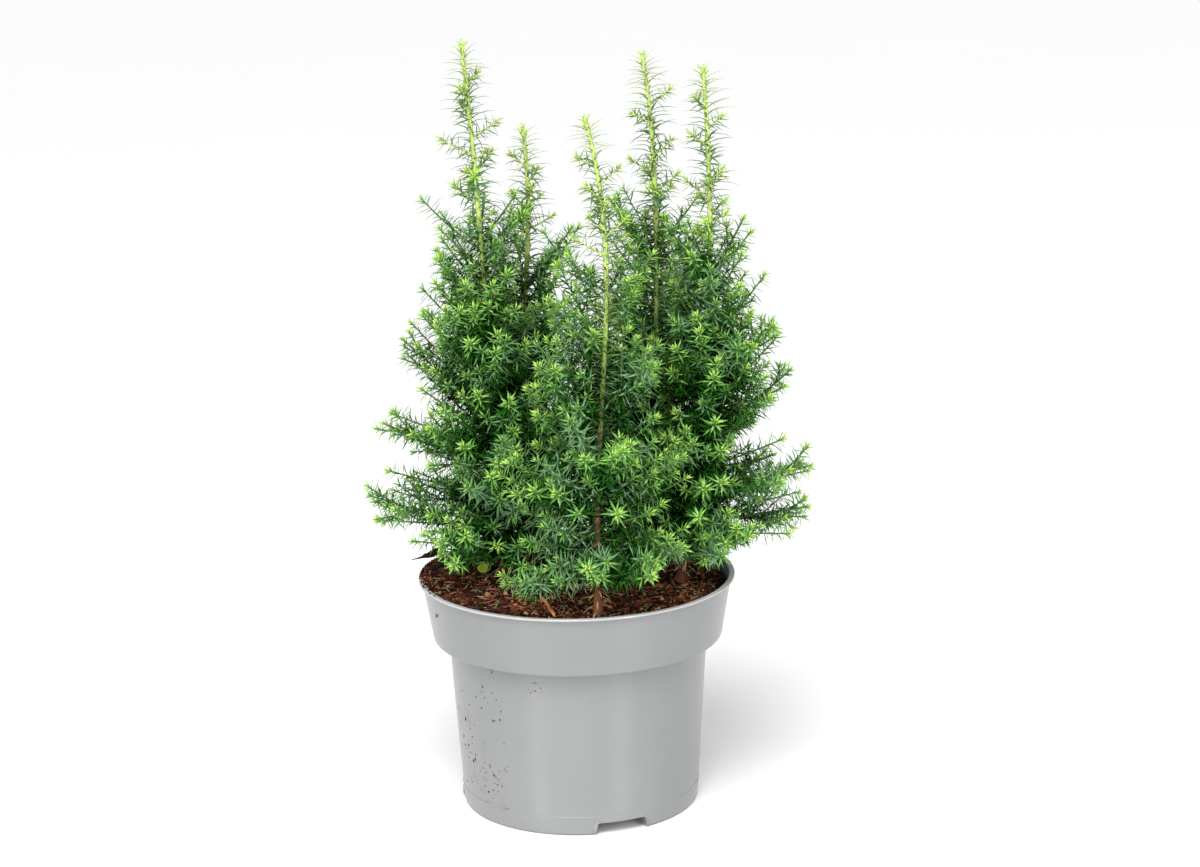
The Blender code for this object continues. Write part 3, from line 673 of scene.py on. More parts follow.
class Spaces:
    """Shares the crown's room out: a point belongs to the mass whose line is nearest."""

    def __init__(self, lines, limbs):
        self.owners = []
        points = []
        for name, line in lines.items():
            for i in range(int(line.length / AXIS_STEP) + 1):
                points.append(line.at(min(line.length, i * AXIS_STEP))[0])
                self.owners.append(name)
        self.tree = KDTree(len(points))
        for i, point in enumerate(points):
            self.tree.insert(point, i)
        self.tree.balance()
        self.limb_tree = KDTree(LIMB_SAMPLES * len(limbs))
        self.limb_sizes = []
        for line, root_radius, tip_radius in limbs:
            for i in range(LIMB_SAMPLES):
                share = i / (LIMB_SAMPLES - 1)
                self.limb_tree.insert(line.at(line.length * share)[0], len(self.limb_sizes))
                self.limb_sizes.append(root_radius + (tip_radius - root_radius) * share)
        self.limb_tree.balance()

    def limb_gap(self, point):
        """How far a point is from the surface of the nearest trunk or bough."""
        _, limb, gap = self.limb_tree.find(point)
        return gap - self.limb_sizes[limb]

    def holds(self, owners, point, margin):
        """Whether a point lies in its owners' space, clear of every limb and of the ground."""
        if point.z < ground_height(point) + GROUND_MARGIN or self.limb_gap(point) <= LIMB_MARGIN:
            return False
        _, nearest, own = self.tree.find(point)
        if self.owners[nearest] not in owners:
            return False
        if margin == 0:
            return True
        _, _, other = self.tree.find(point, filter=lambda i: self.owners[i] not in owners)
        return (other - own) / 2 > margin


def ground_height(point):
    """What foliage keeps above at a place: the compost inside the pot, its rim outside."""
    inside_rim = math.hypot(point[0], point[1]) < RIM_INSIDE
    return SOIL_LEVEL if inside_rim else POT_HEIGHT


def kept_length(path, owners, margin, shortest):
    """How much of a side shoot's path stays in its owners' space."""
    spaces = plant_plan().spaces
    steps = 2 * LINE_POINTS
    for i in range(steps + 1):
        distance = path.length * i / steps
        point = path.at(distance)[0]
        leaves = distance > shortest / 2 and not spaces.holds(owners, point, margin)
        if leaves or spaces.limb_gap(point) <= LIMB_MARGIN:
            return path.length * (i - 1) / steps
    return path.length


class Rule(NamedTuple):
    """How side shoots stand along a main shoot. Their length is a function of the distance."""

    first: float
    step: float
    leave: float
    flat: float
    bare_top: float
    length: Callable
    margin: float = STALK_MARGIN
    shortest: float = SHORTEST_SHOOT


def side_paths(main, owners, rule, chance):
    """The side shoots' paths off a main shoot, turned by the golden angle from one to the next."""

    def uneven(share=1):
        return 1 + chance.uniform(-SIDE_JITTER, SIDE_JITTER) * share

    paths = []
    turn = chance.uniform(0, math.tau)
    distance = rule.first
    while distance < main.length - rule.bare_top:
        turn += GOLDEN_ANGLE * uneven(0.5)
        centre, direction = main.at(distance)
        side, up = main.cross_axes(direction)
        outward = side * math.cos(turn) + up * math.sin(turn)
        leave = rule.leave * uneven()
        heading = direction * math.cos(leave) + outward * math.sin(leave)
        heading.z = direction.z + (heading.z - direction.z) * rule.flat
        heading.normalize()
        path = rising_path(centre, heading, rule.length(distance) * uneven(), SIDE_LIFT)
        kept = kept_length(path, owners, rule.margin, rule.shortest)
        if kept >= rule.shortest:
            paths.append(path.between(0, kept, LINE_POINTS))
        distance += rule.step * uneven()
    return paths


def mass_rule(reach, main_length):
    """How the side shoots of a mass shorten towards its tip."""

    def length(distance):
        return reach * SIDE_SHARE * (1 - SIDE_FALL * distance / main_length)

    return Rule(SIDE_STEP / 2, SIDE_STEP, SIDE_LEAVE, SIDE_FLATNESS, SIDE_STEP, length)


def leader_rule(reach, main_length):
    """How the side shoots of a leader shorten towards its tip."""

    def length(distance):
        return reach + (SHORTEST_SHOOT - reach) * distance / main_length

    return Rule(LEADER_SIDE_STEP / 2, LEADER_SIDE_STEP, LEADER_SIDE_LEAVE, 1.0, LEADER_BARE_TOP, length)


def between_rule(coarse):
    """Shorter shoots between those that the solids have."""

    def length(distance):
        return coarse.length(distance) * BETWEEN_SHARE

    first = coarse.first + coarse.step / 2
    return coarse._replace(first=first, length=length, margin=0, shortest=FINE_SHORTEST)


def fine_rule(parent, step):
    """The finest shoots, on a side shoot."""

    def length(distance):
        return (parent.length - distance) * FINE_SHARE + FINE_EXTRA

    return Rule(FINE_FIRST, step, FINE_LEAVE, SIDE_FLATNESS, FINE_BARE_TOP, length, 0, FINE_SHORTEST)


class Plan(NamedTuple):
    """Where the plant's lines run, from the same tables as the solids."""

    lines: dict
    tops: dict
    woods: dict
    boughs: dict
    mains: dict
    rules: dict
    stems: dict
    spaces: Spaces


@functools.cache
def plant_plan():
    """This plant's plan, worked out once."""
    lines, tops, woods, boughs, mains, rules, stems, limbs = {}, {}, {}, {}, {}, {}, {}, []
    for name, (height, reach) in LEADERS.items():
        line, leader = trunk_line(name), f"leader_{name}"
        lines[name], tops[name] = line, distance_at_height(line, height)
        woods[name] = line.between(0, tops[name], LIMB_SAMPLES)
        limbs.append((woods[name], TRUNK_FOOT_RADIUS, TRUNK_TOP_RADIUS))
        mains[leader] = line.between(tops[name] + CLEARANCE, line.length, LINE_POINTS)
        rules[leader] = leader_rule(reach, mains[leader].length)
        stems[leader] = name
    axes = dict(mains)
    for trunk, side, height, azimuth, reach, rise in (*BOUGHS, *MASSES):
        mass, wooden = f"mass_{trunk}_{side}", side == "low"
        radius = BOUGH_ROOT_RADIUS if wooden else MAIN_RADIUS
        root, direction = limb_start(lines[trunk], tops[trunk], height, azimuth, rise, radius)
        whole = rising_path(root, direction, reach, LIFT_FOR_RISE * rise)
        mains[mass] = axes[mass] = whole
        if wooden:
            wood = whole.between(0, whole.length * BOUGH_SHARE, BOUGH_POINTS)
            boughs[trunk] = (wood, root - direction * BOUGH_SINK)
            limbs.append((wood, BOUGH_ROOT_RADIUS, BOUGH_TIP_RADIUS))
            mains[mass] = whole.between(wood.length + CLEARANCE, whole.length, LINE_POINTS)
        rules[mass] = mass_rule(reach, mains[mass].length)
        stems[mass] = trunk
    return Plan(lines, tops, woods, boughs, mains, rules, stems, Spaces(axes, limbs))


# Meshes


def linked(name, data):
    """A new object in the scene."""
    made = bpy.data.objects.new(name, data)
    bpy.context.scene.collection.objects.link(made)
    return made


def mesh_object(name, points, faces, material, smooth=True):
    """An object of triangles given as arrays."""
    mesh = bpy.data.meshes.new(name)
    mesh.vertices.add(len(points))
    mesh.vertices.foreach_set("co", np.ascontiguousarray(points, np.float32).ravel())
    mesh.loops.add(faces.size)
    mesh.loops.foreach_set("vertex_index", np.ascontiguousarray(faces, np.int32).ravel())
    mesh.polygons.add(len(faces))
    mesh.polygons.foreach_set("loop_start", np.arange(0, faces.size, 3, dtype=np.int32))
    mesh.update(calc_edges=True)
    mesh.materials.append(material)
    if smooth:
        mesh.shade_smooth()
    return linked(name, mesh)


class Heap:
    """Many small shapes of one kind, gathered as arrays to become one mesh."""

    def __init__(self):
        self.points, self.faces, self.count = [], [], 0

    def add(self, points, faces):
        """Adds copies of one shape: points as (copies, corners, 3), faces as (triangles, 3)."""
        if len(points) == 0:
            return
        copies, corners = points.shape[:2]
        starts = self.count + corners * np.arange(copies)
        self.points.append(points.reshape(-1, 3))
        self.faces.append((starts[:, None, None] + faces[None]).reshape(-1, 3))
        self.count += copies * corners

    def make(self, name, material, slot, nodes=(), smooth=True):
        """Turns the heap into one piece, or into several under the limit on triangles."""
        if not self.points:
            return
        points, faces = np.concatenate(self.points), np.concatenate(self.faces)
        parts = math.ceil(len(faces) / MOST_TRIANGLES)
        for part, chosen in enumerate(np.array_split(faces, parts)):
            used, again = np.unique(chosen, return_inverse=True)
            label = f"{name}_{part + 1}" if parts > 1 else name
            seat(mesh_object(label, points[used], again.reshape(-1, 3), material, smooth), slot, nodes)


def pile(name, material, slot, shapes, nodes=(), smooth=True):
    """A piece made of small shapes, each given as points and triangles."""
    heap = Heap()
    for points, faces in shapes:
        heap.add(points, faces)
    heap.make(name, material, slot, nodes, smooth)


def seat(piece, slot, nodes=()):
    """Ties a finished piece to the frame's body and hides the solids that it stands for. Its slot is not
    used.
    """
    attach(piece, BODY)
    if nodes:
        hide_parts(*nodes)


def nodes_named(*starts):
    """The solids whose names start in one of these ways."""
    return sorted(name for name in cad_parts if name.startswith(starts))


def ring_faces(rings, sides, capped=True):
    """Triangles of a tube whose points run ring by ring."""
    faces = []
    for ring in range(rings - 1):
        for i in range(sides):
            a, b = ring * sides + i, ring * sides + (i + 1) % sides
            faces += [(a, b, b + sides), (a, b + sides, a + sides)]
    if capped:
        last = (rings - 1) * sides
        for i in range(1, sides - 1):
            faces += [(0, i + 1, i), (last, last + i, last + i + 1)]
    return np.array(faces)


def around(side, up, sides):
    """Directions all round a line, from its two cross axes at each place."""
    angles = math.tau * np.arange(sides) / sides
    return side[:, None] * np.cos(angles)[None, :, None] + up[:, None] * np.sin(angles)[None, :, None]


def small_shape(fill, **sizes):
    """The points and triangles of one of bmesh's own shapes."""
    bm = bmesh.new()
    fill(bm, **sizes)
    bmesh.ops.triangulate(bm, faces=bm.faces)
    points = np.array([corner.co[:] for corner in bm.verts])
    faces = np.array([[corner.index for corner in face.verts] for face in bm.faces])
    bm.free()
    return points, faces


# Finishes


def dimmed(colour, share):
    """A colour made darker."""
    return tuple(channel * share for channel in colour)


class Finish:
    """A material put together from nodes round one Principled shader."""

    def __init__(self, name, colour, roughness, specular=0.5):
        self.material = bpy.data.materials.new(name)
        self.material.use_nodes = True
        self.tree = self.material.node_tree
        self.shader = self.tree.nodes["Principled BSDF"]
        self.set("Base Color", (*colour, 1))
        self.set("Roughness", roughness)
        self.set("Specular IOR Level", specular)

    def set(self, name, value):
        """Gives one of the shader's own sockets a value."""
        self.shader.inputs[name].default_value = value

    def fill(self, socket, value):
        """Links a socket to another, or gives it a value."""
        if isinstance(value, bpy.types.NodeSocket):
            self.tree.links.new(value, socket)
        else:
            socket.default_value = value

    def node(self, kind, inputs=(), **settings):
        """A node with its settings and its inputs, which are sockets or plain values."""
        made = self.tree.nodes.new(f"ShaderNode{kind}")
        for name, value in settings.items():
            setattr(made, name, value)
        for name, value in dict(inputs).items():
            self.fill(made.inputs[name], value)
        return made

    def place(self, stretch=(1, 1, 1)):
        """The point on the object, stretched along its axes."""
        where = self.node("TexCoord").outputs["Object"]
        return self.node("Mapping", {"Vector": where, "Scale": stretch}).outputs["Vector"]

    def noise(self, scale, detail=3.0, stretch=(1, 1, 1)):
        """A noise's strength at each point."""
        inputs = {"Vector": self.place(stretch), "Scale": scale, "Detail": detail}
        return self.node("TexNoise", inputs).outputs["Fac"]

    def height(self, low, high):
        """How far up a point is between two heights, from 0 to 1."""
        return self.scaled(self.node("SeparateXYZ", {"Vector": self.place()}).outputs["Z"], low, high)

    def scaled(self, value, low, high, to_low=0, to_high=1):
        """A value mapped from one range to another, and held inside it."""
        inputs = {"Value": value, "From Min": low, "From Max": high, "To Min": to_low, "To Max": to_high}
        return self.node("MapRange", inputs).outputs["Result"]

    def sum(self, first, second, operation="ADD"):
        """Two values added, or put together by another operation."""
        return self.node("Math", {0: first, 1: second}, operation=operation).outputs["Value"]

    def mixed(self, share, first, second):
        """One colour turning into another. Each is a colour or a socket."""
        made = self.node("Mix", {0: share}, data_type="RGBA")
        for index, value in ((6, first), (7, second)):
            self.fill(made.inputs[index], value if isinstance(value, bpy.types.NodeSocket) else (*value, 1))
        return made.outputs[2]

    def drive(self, name, value):
        """Links a value to the shader."""
        self.tree.links.new(value, self.shader.inputs[name])

    def bump(self, height, distance, strength=1.0):
        """Fine relief on the surface."""
        inputs = {"Height": height, "Distance": distance, "Strength": strength}
        self.drive("Normal", self.node("Bump", inputs).outputs["Normal"])

    def patches(self, scale, colour, darker, dim_roughness, clear_roughness):
        """A colour that is darker in patches, with a roughness for each."""
        tone = self.scaled(self.noise(scale), 0.35, 0.65)
        self.drive("Base Color", self.mixed(tone, dimmed(colour, darker), colour))
        self.drive("Roughness", self.scaled(tone, 0, 1, dim_roughness, clear_roughness))


def pot_finish(settings):
    """Satin grey plastic, polished along the mould's draw, with faint clouds and smears on the left."""
    finish = Finish("grey_plastic", settings.colour, settings.roughness)
    clouds = finish.scaled(finish.noise(22, 4.0, (1, 1, 0.5)), 0.35, 0.70)
    plastic = finish.mixed(clouds, settings.colour, settings.shaded)
    axes = finish.node("SeparateXYZ", {"Vector": finish.place()})
    left = finish.scaled(axes.outputs["X"], -0.024, -0.060)
    low = finish.scaled(axes.outputs["Z"], 0.100, 0.015, 0.2, 1)
    spread = finish.sum(left, low, "MULTIPLY")
    smear = finish.scaled(finish.noise(75, 5.0), 0.56, 0.74, 0, 0.30)
    marked = finish.mixed(finish.sum(smear, spread, "MULTIPLY"), plastic, settings.soil_mark)
    # Painted highlight: the top millimetre of the rim turns to the paler rim colour
    rim_highlight = finish.height(POT_HEIGHT - 0.0012, POT_HEIGHT - 0.0004)
    finish.drive("Base Color", finish.mixed(rim_highlight, marked, settings.rim))
    grain = finish.noise(420, 4.0)
    dull = settings.roughness
    finish.drive("Roughness", finish.scaled(grain, 0.3, 0.7, dull - 0.03, dull + 0.04))
    finish.set("Anisotropic", 0.85)
    finish.set("Anisotropic Rotation", 0.25)
    round_axis = finish.node("Tangent", direction_type="RADIAL", axis="Z")
    finish.drive("Tangent", round_axis.outputs["Tangent"])
    finish.bump(grain, 0.00003, 0.3)
    return finish.material


def compost_finish(settings):
    """Compost fines: painted shade makes them near-black in their bump's hollows; red-brown on the lumps."""
    finish = Finish("compost_fines", settings.brown, 0.88, 0.12)
    grain = finish.noise(620, 6.0)
    patches = finish.noise(75, 5.0)
    # Painted shade: the fines turn near-black where the grain sinks the bump relief below
    fines = finish.mixed(finish.scaled(grain, 0.46, 0.66), settings.dark, settings.brown)
    crumbs = finish.mixed(finish.scaled(patches, 0.50, 0.68, 0, 0.7), fines, settings.red)
    finish.drive("Base Color", crumbs)
    finish.drive("Roughness", finish.scaled(patches, 0.35, 0.7, 0.62, 0.95))
    finish.bump(grain, 0.0009)
    return finish.material


def loose_finish(name, colour, darker, roughness=0.85):
    """Loose bits of bark or fibre, each patch a little lighter or darker."""
    finish = Finish(name, colour, roughness, 0.15)
    finish.patches(260, colour, darker, roughness - 0.15, min(1.0, roughness + 0.1))
    finish.bump(finish.noise(1500), 0.0003)
    return finish.material


def bark_finish(settings):
    """Bark that turns from red-brown at the foot through tan to a green stem."""
    finish = Finish("stem_bark", settings.middle, 0.75)
    streaks = finish.noise(240, 4.0, (1, 1, 0.22))
    wander = finish.scaled(streaks, 0.3, 0.7, -0.05, 0.05)
    rise = finish.sum(finish.height(SOIL_LEVEL + 0.018, SOIL_LEVEL + 0.075), wander)
    green = finish.sum(finish.height(SOIL_LEVEL + 0.095, SOIL_LEVEL + 0.140), wander)
    stem = finish.mixed(green, finish.mixed(rise, settings.foot, settings.middle), settings.top)
    dim = finish.node("HueSaturation", {"Color": stem, "Value": 0.55}).outputs["Color"]
    finish.drive("Base Color", finish.mixed(finish.scaled(streaks, 0.36, 0.56, 1, 0), stem, dim))
    finish.drive("Roughness", finish.scaled(streaks, 0.3, 0.7, 0.62, 0.9))
    finish.bump(streaks, 0.0006)
    return finish.material


def stalk_finish(name, colour):
    """The skin of a young stalk, lighter and darker along its length."""
    finish = Finish(name, colour, 0.6)
    finish.patches(300, colour, 0.65, 0.7, 0.5)
    return finish.material


def needle_finish(name, colour):
    """One plain shade of needle with a wax that is duller in patches."""
    finish = Finish(name, colour, 0.48, 0.03)
    finish.drive("Roughness", finish.scaled(finish.noise(700, 2.0), 0.3, 0.7, 0.40, 0.60))
    return finish.material


def floor_finish(colour):
    """Matt pale studio floor."""
    finish = Finish("studio_floor", colour, 0.9)
    finish.drive("Base Color", finish.mixed(finish.noise(3.0), dimmed(colour, 0.985), colour))
    return finish.material


# Pot


def collar_radius(height, wall=0.0):
    """The collar's radius at a height, taken in by a wall's thickness."""
    share = (height - COLLAR_FOOT_HEIGHT) / (POT_HEIGHT - LIP_HEIGHT - COLLAR_FOOT_HEIGHT)
    return COLLAR_FOOT_RADIUS + (RIM_RADIUS - LIP_OVERHANG - COLLAR_FOOT_RADIUS) * share - wall


def body_radius(height, wall=0.0):
    """The body's radius at a height below the collar, taken in by a wall's thickness."""
    return BASE_RADIUS + (BODY_TOP_RADIUS - BASE_RADIUS) * height / COLLAR_FOOT_HEIGHT - wall


def rounded(corners):
    """The points of an outline whose corners (radius, height, rounding) are turned into curves."""
    points = []
    for i, (x, z, rounding) in enumerate(corners):
        here = Vector((x, z))
        if rounding == 0:
            points.append(here)
            continue
        before = (Vector(corners[i - 1][:2]) - here).normalized()
        after = (Vector(corners[i + 1][:2]) - here).normalized()
        cut = rounding / math.tan(before.angle(after) / 2)
        for step in range(CORNER_STEPS + 1):
            t = step / CORNER_STEPS
            points.append(here + before * cut * (1 - t) ** 2 + after * cut * t**2)
    return points


def pot_outline():
    """The pot's section: up its inner wall, over the lip and down the outside to the foot."""
    shoulder = COLLAR_FOOT_HEIGHT + WALL
    lip_foot = POT_HEIGHT - LIP_HEIGHT
    ledge = FOOT_LEDGE_HEIGHT
    return rounded((
        (0, FLOOR, 0),
        (body_radius(FLOOR, WALL), FLOOR, 0.0020),
        (body_radius(shoulder, WALL), shoulder, 0.0010),
        (collar_radius(shoulder, WALL), shoulder, 0.0010),
        (collar_radius(POT_HEIGHT, WALL), POT_HEIGHT, 0.0010),
        (RIM_RADIUS, POT_HEIGHT, 0.0007),
        (RIM_RADIUS, lip_foot, 0.0004),
        (collar_radius(lip_foot), lip_foot, 0.0004),
        (COLLAR_FOOT_RADIUS, COLLAR_FOOT_HEIGHT, 0.0024),
        (body_radius(COLLAR_FOOT_HEIGHT), COLLAR_FOOT_HEIGHT, 0.0010),
        (body_radius(ledge), ledge + FOOT_LEDGE_DEPTH, 0.0001),
        (body_radius(ledge) + FOOT_LEDGE_DEPTH, ledge, 0.0001),
        (BASE_RADIUS, BASE_CHAMFER, 0.0006),
        (BASE_RADIUS - BASE_CHAMFER, 0, 0.0004),
        (0, 0, 0),
    ))


def channel_block(grow, outer_radius, azimuth, below):
    """A drafted block with rounded edges along one drainage channel, made larger all round by grow."""
    bm = bmesh.new()
    inner = CHANNEL_INNER_RADIUS - grow
    length, width = outer_radius - inner, CHANNEL_WIDTH + 2 * grow
    height = CHANNEL_HEIGHT + grow + below
    bmesh.ops.create_cube(bm, size=1.0)
    for corner in bm.verts:
        narrowed = CHANNEL_DRAFT if corner.co.z > 0 else 1.0
        corner.co.x = inner + (corner.co.x + 0.5) * length
        corner.co.y *= width * narrowed
        corner.co.z = (corner.co.z + 0.5) * height - below
    top = [edge for edge in bm.edges if all(corner.co.z > 0 for corner in edge.verts)]
    rounding = CHANNEL_ROUNDING + grow
    bmesh.ops.bevel(bm, geom=top, offset=rounding, segments=3, affect="EDGES", profile=0.5)
    bmesh.ops.rotate(bm, verts=bm.verts, matrix=Matrix.Rotation(math.radians(azimuth), 3, "Z"))
    mesh = bpy.data.meshes.new("channel")
    bm.to_mesh(mesh)
    bm.free()
    return linked("channel", mesh)


def baked_mesh(made):
    """Applies an object's modifiers and keeps the result as its mesh."""
    bpy.context.view_layer.update()
    evaluated = made.evaluated_get(bpy.context.evaluated_depsgraph_get())
    mesh = bpy.data.meshes.new_from_object(evaluated)
    made.modifiers.clear()
    made.data = mesh


class CONIFER_OT_pot(bpy.types.Operator):
    """Turns the pot and moulds the drainage channels into its floor"""

    bl_idname = "conifer.pot"
    bl_label = "Pot"

    def execute(self, context):
        points = pot_outline()
        mesh = bpy.data.meshes.new("nursery_pot")
        mesh.from_pydata([(p.x, 0, p.y) for p in points], [(i, i + 1) for i in range(len(points) - 1)], [])
        pot = linked("nursery_pot", mesh)
        turn = pot.modifiers.new("turn", "SCREW")
        turn.axis, turn.steps, turn.render_steps = "Z", POT_STEPS, POT_STEPS
        turn.use_merge_vertices, turn.merge_threshold = True, 1e-5
        turn.use_normal_calculate = True
        baked_mesh(pot)
        cutters = []
        for k in range(CHANNEL_COUNT):
            azimuth = CHANNEL_FIRST_AZIMUTH + 360 / CHANNEL_COUNT * k
            wall_middle = body_radius(CHANNEL_HEIGHT) - WALL / 2
            roof = channel_block(WALL, wall_middle, azimuth, -FLOOR / 2)
            hollow = channel_block(0, RIM_RADIUS, azimuth, FLOOR)
            for cutter, operation in ((roof, "UNION"), (hollow, "DIFFERENCE")):
                cut = pot.modifiers.new("channel", "BOOLEAN")
                cut.object, cut.operation, cut.solver = cutter, operation, "EXACT"
                cutters.append(cutter)
        baked_mesh(pot)
        for cutter in cutters:
            bpy.data.objects.remove(cutter)
        pot.data.materials.clear()
        pot.data.materials.append(pot_finish(context.scene.conifer_pot))
        pot.data.shade_smooth()
        pot.data.set_sharp_from_angle(angle=SHARP_ANGLE)
        seat(pot, "pot", ("pot",))
        return {"FINISHED"}


# Compost


def soil_height(x, y, lump):
    """How high the compost lies at a place."""
    out = math.hypot(x, y) / RIM_RADIUS
    towards = (HEAP_TOWARDS[0] * x + HEAP_TOWARDS[1] * y) / RIM_RADIUS
    heap = SOIL_HEAP * max(0.0, towards) ** HEAP_CURVE - SOIL_SINK * max(0.0, -towards)
    rough = sum(
        share * noise.fractal(Vector((x * fineness, y * fineness, seed)), *SOIL_TEXTURE)
        for share, fineness, seed in SOIL_ROUGHNESS
    )
    return SOIL_LEVEL + heap + lump * rough - max(0.0, out - WALL_DROP_FROM) ** 2 * WALL_DROP


def soil_bed(lump):
    """A closed bed of compost with a lumpy top, clear of the pot's wall all round."""
    edge = collar_radius(SOIL_LEVEL - SOIL_EDGE_DEPTH, WALL) - SOIL_GAP / 2
    shoulder = COLLAR_FOOT_HEIGHT + 2 * WALL
    rings = [(edge * ring / SOIL_RINGS, None) for ring in range(1, SOIL_RINGS + 1)]
    rings += [
        (collar_radius(shoulder, WALL) - SOIL_GAP, shoulder),
        (body_radius(shoulder - WALL, WALL) - SOIL_GAP, shoulder),
        (body_radius(SOIL_FOOT, WALL) - SOIL_GAP, SOIL_FOOT),
    ]
    points = [(0, 0, soil_height(0, 0, lump))]
    for radius, level in rings:
        for step in range(SOIL_STEPS):
            angle = math.tau * step / SOIL_STEPS
            x, y = radius * math.cos(angle), radius * math.sin(angle)
            points.append((x, y, soil_height(x, y, lump) if level is None else level))
    points.append((0, 0, SOIL_FOOT))
    steps = np.arange(SOIL_STEPS)
    after = (steps + 1) % SOIL_STEPS
    last = len(points) - 1
    top = np.stack([0 * steps, 1 + steps, 1 + after], axis=1)
    foot = np.stack([last + 0 * steps, last - SOIL_STEPS + after, last - SOIL_STEPS + steps], axis=1)
    sides = 1 + ring_faces(len(rings), SOIL_STEPS, capped=False)[:, ::-1]
    return np.array(points), np.concatenate([top, sides, foot])


def turned_frames(chance, count, most_tilt):
    """Random frames that lean up to a tilt from level, as rows of three axes."""
    spin = chance.uniform(0, math.tau, count)
    tilt = chance.uniform(-most_tilt, most_tilt, count)
    roll = chance.uniform(-most_tilt, most_tilt, count)
    along = np.stack([np.cos(spin) * np.cos(tilt), np.sin(spin) * np.cos(tilt), np.sin(tilt)], axis=1)
    flat = np.stack([-np.sin(spin), np.cos(spin), np.zeros(count)], axis=1)
    up = np.cross(along, flat)
    across = flat * np.cos(roll)[:, None] + up * np.sin(roll)[:, None]
    return along, across, np.cross(along, across)


def strewn(chance, count, lump):
    """Places on the compost, even over its face, with its height there."""
    radius = (collar_radius(SOIL_LEVEL, WALL) - STREWN_INSET) * np.sqrt(chance.uniform(0, 1, count))
    angle = chance.uniform(0, math.tau, count)
    x, y = radius * np.cos(angle), radius * np.sin(angle)
    return np.stack([x, y, [soil_height(a, b, lump) for a, b in zip(x, y)]], axis=1)


def spilled(chance, count):
    """Places on the left of the rim, where some compost lies over it."""
    deepest, shallowest = SPILL_BAND
    out = chance.uniform(RIM_RADIUS - deepest, RIM_RADIUS - shallowest, count)
    angle = np.radians(chance.normal(*SPILL_AZIMUTHS, count))
    height = POT_HEIGHT + SPILL_LIFT + chance.uniform(0, SPILL_SLOPE, count) * (RIM_RADIUS - out)
    return np.stack([out * np.cos(angle), out * np.sin(angle), height], axis=1)


def in_frames(shaped, axes, order=(0, 1, 2)):
    """Shapes turned into frames of their own, axis by axis."""
    return sum(shaped[..., k : k + 1] * axis[:, None] for k, axis in zip(order, axes))


def bits(chance, shape, places, sizes, tilt, dents):
    """Copies of a shape at places, each with its own size, turn and dents."""
    points, faces = shape
    count = len(places)
    frames = turned_frames(chance, count, tilt)
    shaped = points[None] * sizes[:, None, :] * (1 + chance.uniform(-dents, dents, (count, len(points), 3)))
    return in_frames(shaped, frames) + places[:, None], faces


def strands(chance, places, lengths, radii, tilt, curl):
    """Thin bent fibres that lie on the compost with their ends free."""
    count, rings, sides = len(places), FIBRE_RINGS, FIBRE_SIDES
    along, across, up = turned_frames(chance, count, tilt)
    share = np.linspace(-0.5, 0.5, rings)
    bend = chance.uniform(-curl, curl, count)[:, None, None] * (share**2)[None, :, None]
    middle = share[None, :, None] * along[:, None] + bend * across[:, None]
    middle = middle * lengths[:, None, None] + places[:, None]
    taper = (radii[:, None] * np.sqrt(1.05 - (2 * share) ** 2)[None])[..., None, None]
    points = middle[:, :, None] + around(across, up, sides)[:, None] * taper
    return points.reshape(count, rings * sides, 3), ring_faces(rings, sides)


BALL = small_shape(bmesh.ops.create_icosphere, subdivisions=1, radius=1.0)
LUMP = small_shape(bmesh.ops.create_uvsphere, u_segments=4, v_segments=2, radius=1.0)
CHIP = small_shape(bmesh.ops.create_cube, size=1.0)
LEAF = small_shape(bmesh.ops.create_uvsphere, u_segments=14, v_segments=8, radius=0.5)
CRUMBS = ((BALL, 0.22, 0.0007, 0.0019), (LUMP, 0.78, 0.0003, 0.0010))


class CONIFER_OT_compost(bpy.types.Operator):
    """Fills the pot with compost and strews crumbs, bark chips and fibres over it"""

    bl_idname = "conifer.compost"
    bl_label = "Compost"

    def execute(self, context):
        settings = context.scene.conifer_compost
        lump, nodes = settings.lump, ("compost",)
        chance = np.random.default_rng(COMPOST_SEED)
        seat(mesh_object("compost_bed", *soil_bed(lump), compost_finish(settings)), "compost", nodes)
        finishes = {
            "dark": loose_finish("dark_crumb", settings.dark, 0.5),
            "brown": loose_finish("brown_crumb", settings.brown, 0.4),
            "red": loose_finish("red_bark", settings.red, 0.35),
            "tan": loose_finish("tan_fibre", settings.tan, 0.5, 0.75),
        }
        for name, share in CRUMB_SHARES.items():
            shapes = []
            for shape, part, low, high in CRUMBS:
                count = int(settings.crumbs * share * part)
                size = low + (high - low) * chance.uniform(0, 1, (count, 1)) ** CRUMB_SKEW
                sizes = size * chance.uniform(*CRUMB_SHAPES, (count, 3))
                shapes.append(bits(chance, shape, strewn(chance, count, lump), sizes, *CRUMB_TURNS))
            count = int(SPILLED * share)
            sizes = chance.uniform(*SPILLED_SIZES, (count, 3))
            shapes.append(bits(chance, LUMP, spilled(chance, count), sizes, *CRUMB_TURNS))
            pile(f"crumbs_{name}", finishes[name], "compost", shapes, nodes, smooth=False)
        for name, share in CHIP_SHARES.items():
            count = int(settings.chips * share)
            sizes = chance.uniform(*CHIP_SIZES, (count, 3))
            chips = bits(chance, CHIP, strewn(chance, count, lump), sizes, *CHIP_TURNS)
            pile(f"chips_{name}", finishes[name], "compost", [chips], nodes, smooth=False)
        shortest, longer = FIBRE_LENGTHS
        for name, share in FIBRE_SHARES.items():
            count = int(settings.fibres * share)
            lengths = shortest + longer * chance.uniform(0, 1, count) ** FIBRE_SKEW
            radii = chance.uniform(*FIBRE_RADII, count)
            places = strewn(chance, count, lump) + [0, 0, FIBRE_LIFT]
            fibres = strands(chance, places, lengths, radii, *FIBRE_TURNS)
            pile(f"fibres_{name}", finishes[name], "compost", [fibres], nodes)
        return {"FINISHED"}


# Litter


